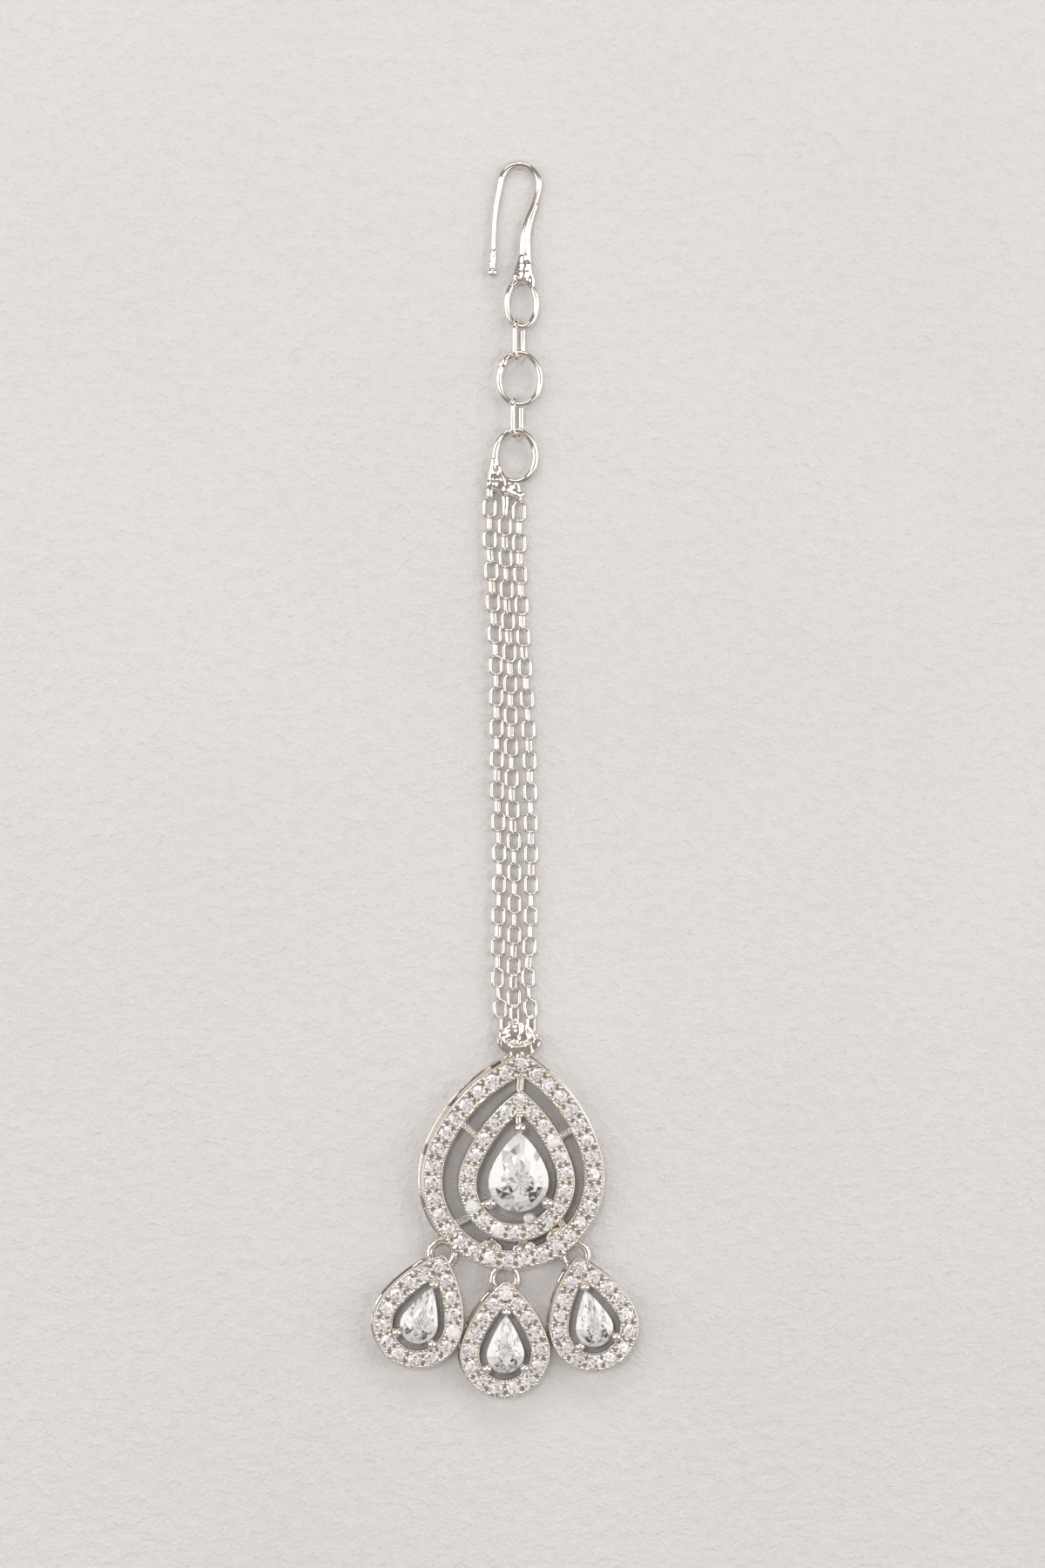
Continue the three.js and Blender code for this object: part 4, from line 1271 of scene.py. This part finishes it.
# Solder marks and the odd stone
# Solder has run into small shells on the outer halo's inner edge and round two of the loops, a
# knot of beads sits at the inner halo's inner tip, and one spare stone is stuck to the inner
# halo's edge below the centre stone.
def shell(at, facing, size):
    """A small half shell of solder on an edge, bulging the way it faces."""
    turn = math.radians(facing)
    reach = np.array([math.cos(turn), math.sin(turn)])
    beside = np.array([-reach[1], reach[0]])
    rim = []
    for a in np.linspace(0, math.pi, 14):
        edge = at + size * (math.cos(a) * beside + 0.62 * math.sin(a) * reach)
        rim.append((*edge, PLATE_TOP - 0.18))
    belly = at + reach * size * 0.2
    return [
        ringed(rim, 0.17, 10, False),
        ball((*belly, PLATE_TOP - 0.4), size * 0.8, 10, 16, 0.4),
    ]


marks = []
for angle, size in ((-14, 1.05), (13, 1.15), (40, 0.95)):
    share = 0.5 - math.radians(angle) * (OUTER.radius - OUTER_BAND) / OUTER.length(OUTER_BAND)
    x, y, t = OUTER.at(share, OUTER_BAND - 0.05)
    marks += shell(np.array((x, y)), math.degrees(t) + 180, size)
for share, inset, size in ((0.592, 0.5, 0.7), (0.605, 1.3, 0.6), (0.405, 0.3, 0.6)):
    x, y, _ = OUTER.at(share, inset)
    marks.append(ball((x, y, PLATE_TOP - 0.12), size, 10, 16, 0.5))
melted_marks = soldered(marks, voxel=0.08, sag=0.06, seed=17.0)
make("pendant_solder", on_pendant(melted_marks), solder)
KNOT_REACH = 0.36
tip_y = INNER.top(INNER_BAND) + 0.05
knot_beads = []
for a in np.arange(6) * math.pi / 3:
    knot_x = KNOT_REACH * math.cos(a)
    knot_y = tip_y + KNOT_REACH * math.sin(a)
    knot_beads.append(ball((knot_x, knot_y, INNER_TOP + 0.12), 0.21, 8, 12))
knot_beads.append(ball((0, tip_y, INNER_TOP + 0.2), 0.2, 8, 12))
make("tip_beads", on_pendant(together(knot_beads), *INNER_OFF), wire_silver)
ODD_PLACE = np.array([1.55, -3.72, INNER_TOP - 0.5])
ODD_SEAT = np.array([0.0, -0.15, -0.25])
odd_turns = np.arange(12) * math.pi / 6
odd_rim = np.stack([0.66 * np.cos(odd_turns), 0.5 * np.sin(odd_turns)], 1)
# Its facets get painted reflection tones a little brighter than the pavé's
(odd_points, odd_faces), odd_tones = brilliant(
    odd_rim,
    table=0.25,
    crown=ROUND_CROWN,
    girdle=0.0,
    depth=0.4,
    glint=small_painted_glints(0.12),
    draw=random.Random(3),
    shares=ROUND_RINGS,
)
odd_shape = on_pendant((odd_points + ODD_PLACE, odd_faces), *INNER_OFF)
make_stones("odd_stone", odd_shape, odd_tones, clear_gem)
odd_seat = on_pendant(ball(ODD_PLACE + ODD_SEAT, 0.6, 10, 16, 0.4), *INNER_OFF)
make("odd_stone_seat", odd_seat, solder)


# Drops
# Three small pear halos, each on its own pierced gallery wall, hang by a bail from the loops on
# the pendant's edge. The wall is cut away behind the loop. Each holds a pear stone in claws.
DROP_STONE = Pear(2.0, 4.25, 20, 0.2)
DROP_FOOT = 0.03
PIER_FOOT = 0.05
PIER_HEIGHTS = (0.2, 1.8)
LOOP_ROOM = 0.3
BAIL_WIRE = 0.22
BAIL_PLAY = 0.22


def drop_wall():
    """The gallery wall of a drop, cut away where the pendant's loop passes behind its tip."""
    room = LOOP_MID + LOOP_WIRE / 2 + LOOP_ROOM
    tip = (0, DROP.top())
    around = DROP.length(WALL_INSET)
    count = round(around / WINDOW_PITCH)
    gap = WINDOW_WIDTH / around
    shares = np.arange(0, 0.5, 0.002)
    first = next(s for s in shares if math.dist(DROP.at(s, WALL_INSET)[:2], tip) > room)
    foot = (DROP_FOOT, DROP_FOOT)
    upright = (WALL_INSET, WALL_INSET)
    pier = (PIER_FOOT, WALL_INSET)
    parts = [
        wall_piece(DROP, foot, WALL, first, 1 - first, 0.0, LOW_RAIL, 90),
        wall_piece(DROP, upright, WALL, first, 1 - first, HIGH_RAIL, WALL_TOP, 90),
    ]
    edges = [first] + [(i + 0.5) / count for i in range(count)] + [1 - first]
    for start, end in zip(edges, edges[1:]):
        begin = start + (gap / 2 if start != first else 0)
        finish_at = end - (gap / 2 if end != 1 - first else 0)
        if finish_at > begin:
            parts.append(wall_piece(DROP, pier, WALL - 0.02, begin, finish_at, *PIER_HEIGHTS))
    return parts


def drop_metal():
    """A drop's halo, wall, claws and bail, about the middle of its round end."""
    parts = [pear_sweep(DROP, channel_profile(DROP_BAND, PLATE_BOTTOM, PLATE_TOP))]
    parts += drop_wall()
    parts += claw_set(DROP_STONE, DROP, DROP_BAND, radius=0.34, bead=0.5, bottom=1.9, bead_z=3.05)
    steps = np.arange(36) * 2 * math.pi / 36
    bail = LOOP_WIRE / 2 + BAIL_PLAY + BAIL_WIRE
    bail_y = DROP.top() - LOOP_MID
    path = np.stack([0 * steps, bail_y + bail * np.cos(steps), LOOP_Z + bail * np.sin(steps)], 1)
    parts.append(ring_upright(path, BAIL_WIRE))
    return together(parts)


def ring_upright(path, radius, sides=14):
    """A small wire ring that stands in the plane of Y and Z."""
    centre = path.mean(0)
    aside = np.array([1.0, 0, 0])
    verts = []
    for point in path:
        out = (point - centre) / np.linalg.norm(point - centre)
        for k in range(sides):
            t = 2 * math.pi * k / sides
            verts.append(point + radius * (math.cos(t) * out + math.sin(t) * aside))
    return np.array(verts), net(len(path), sides, True)


for order, name in enumerate(SIDES):
    x, y = drop_centre(name)
    angle = DROP_TURN[name]
    metal = turned(drop_metal(), angle, x, y)
    make(name + "_drop_halo", metal, silver, ["drop_" + name + "_frame"])
    stones, tones, beads = pave(DROP, DROP_BAND, PLATE_TOP, 21 + order)
    make_stones(name + "_drop_pave", turned(stones, angle, x, y), tones, pave_gem)
    make(name + "_drop_beads", turned(beads, angle, x, y), silver)
    gem, gem_tones = pear_stone(DROP_STONE, table=3.4, girdle=2.75, culet=1.35, seed=41 + order)
    gem = turned(gem, angle, x, y)
    make_stones(name + "_drop_pear", gem, gem_tones, clear_gem, ["drop_" + name + "_stone"])
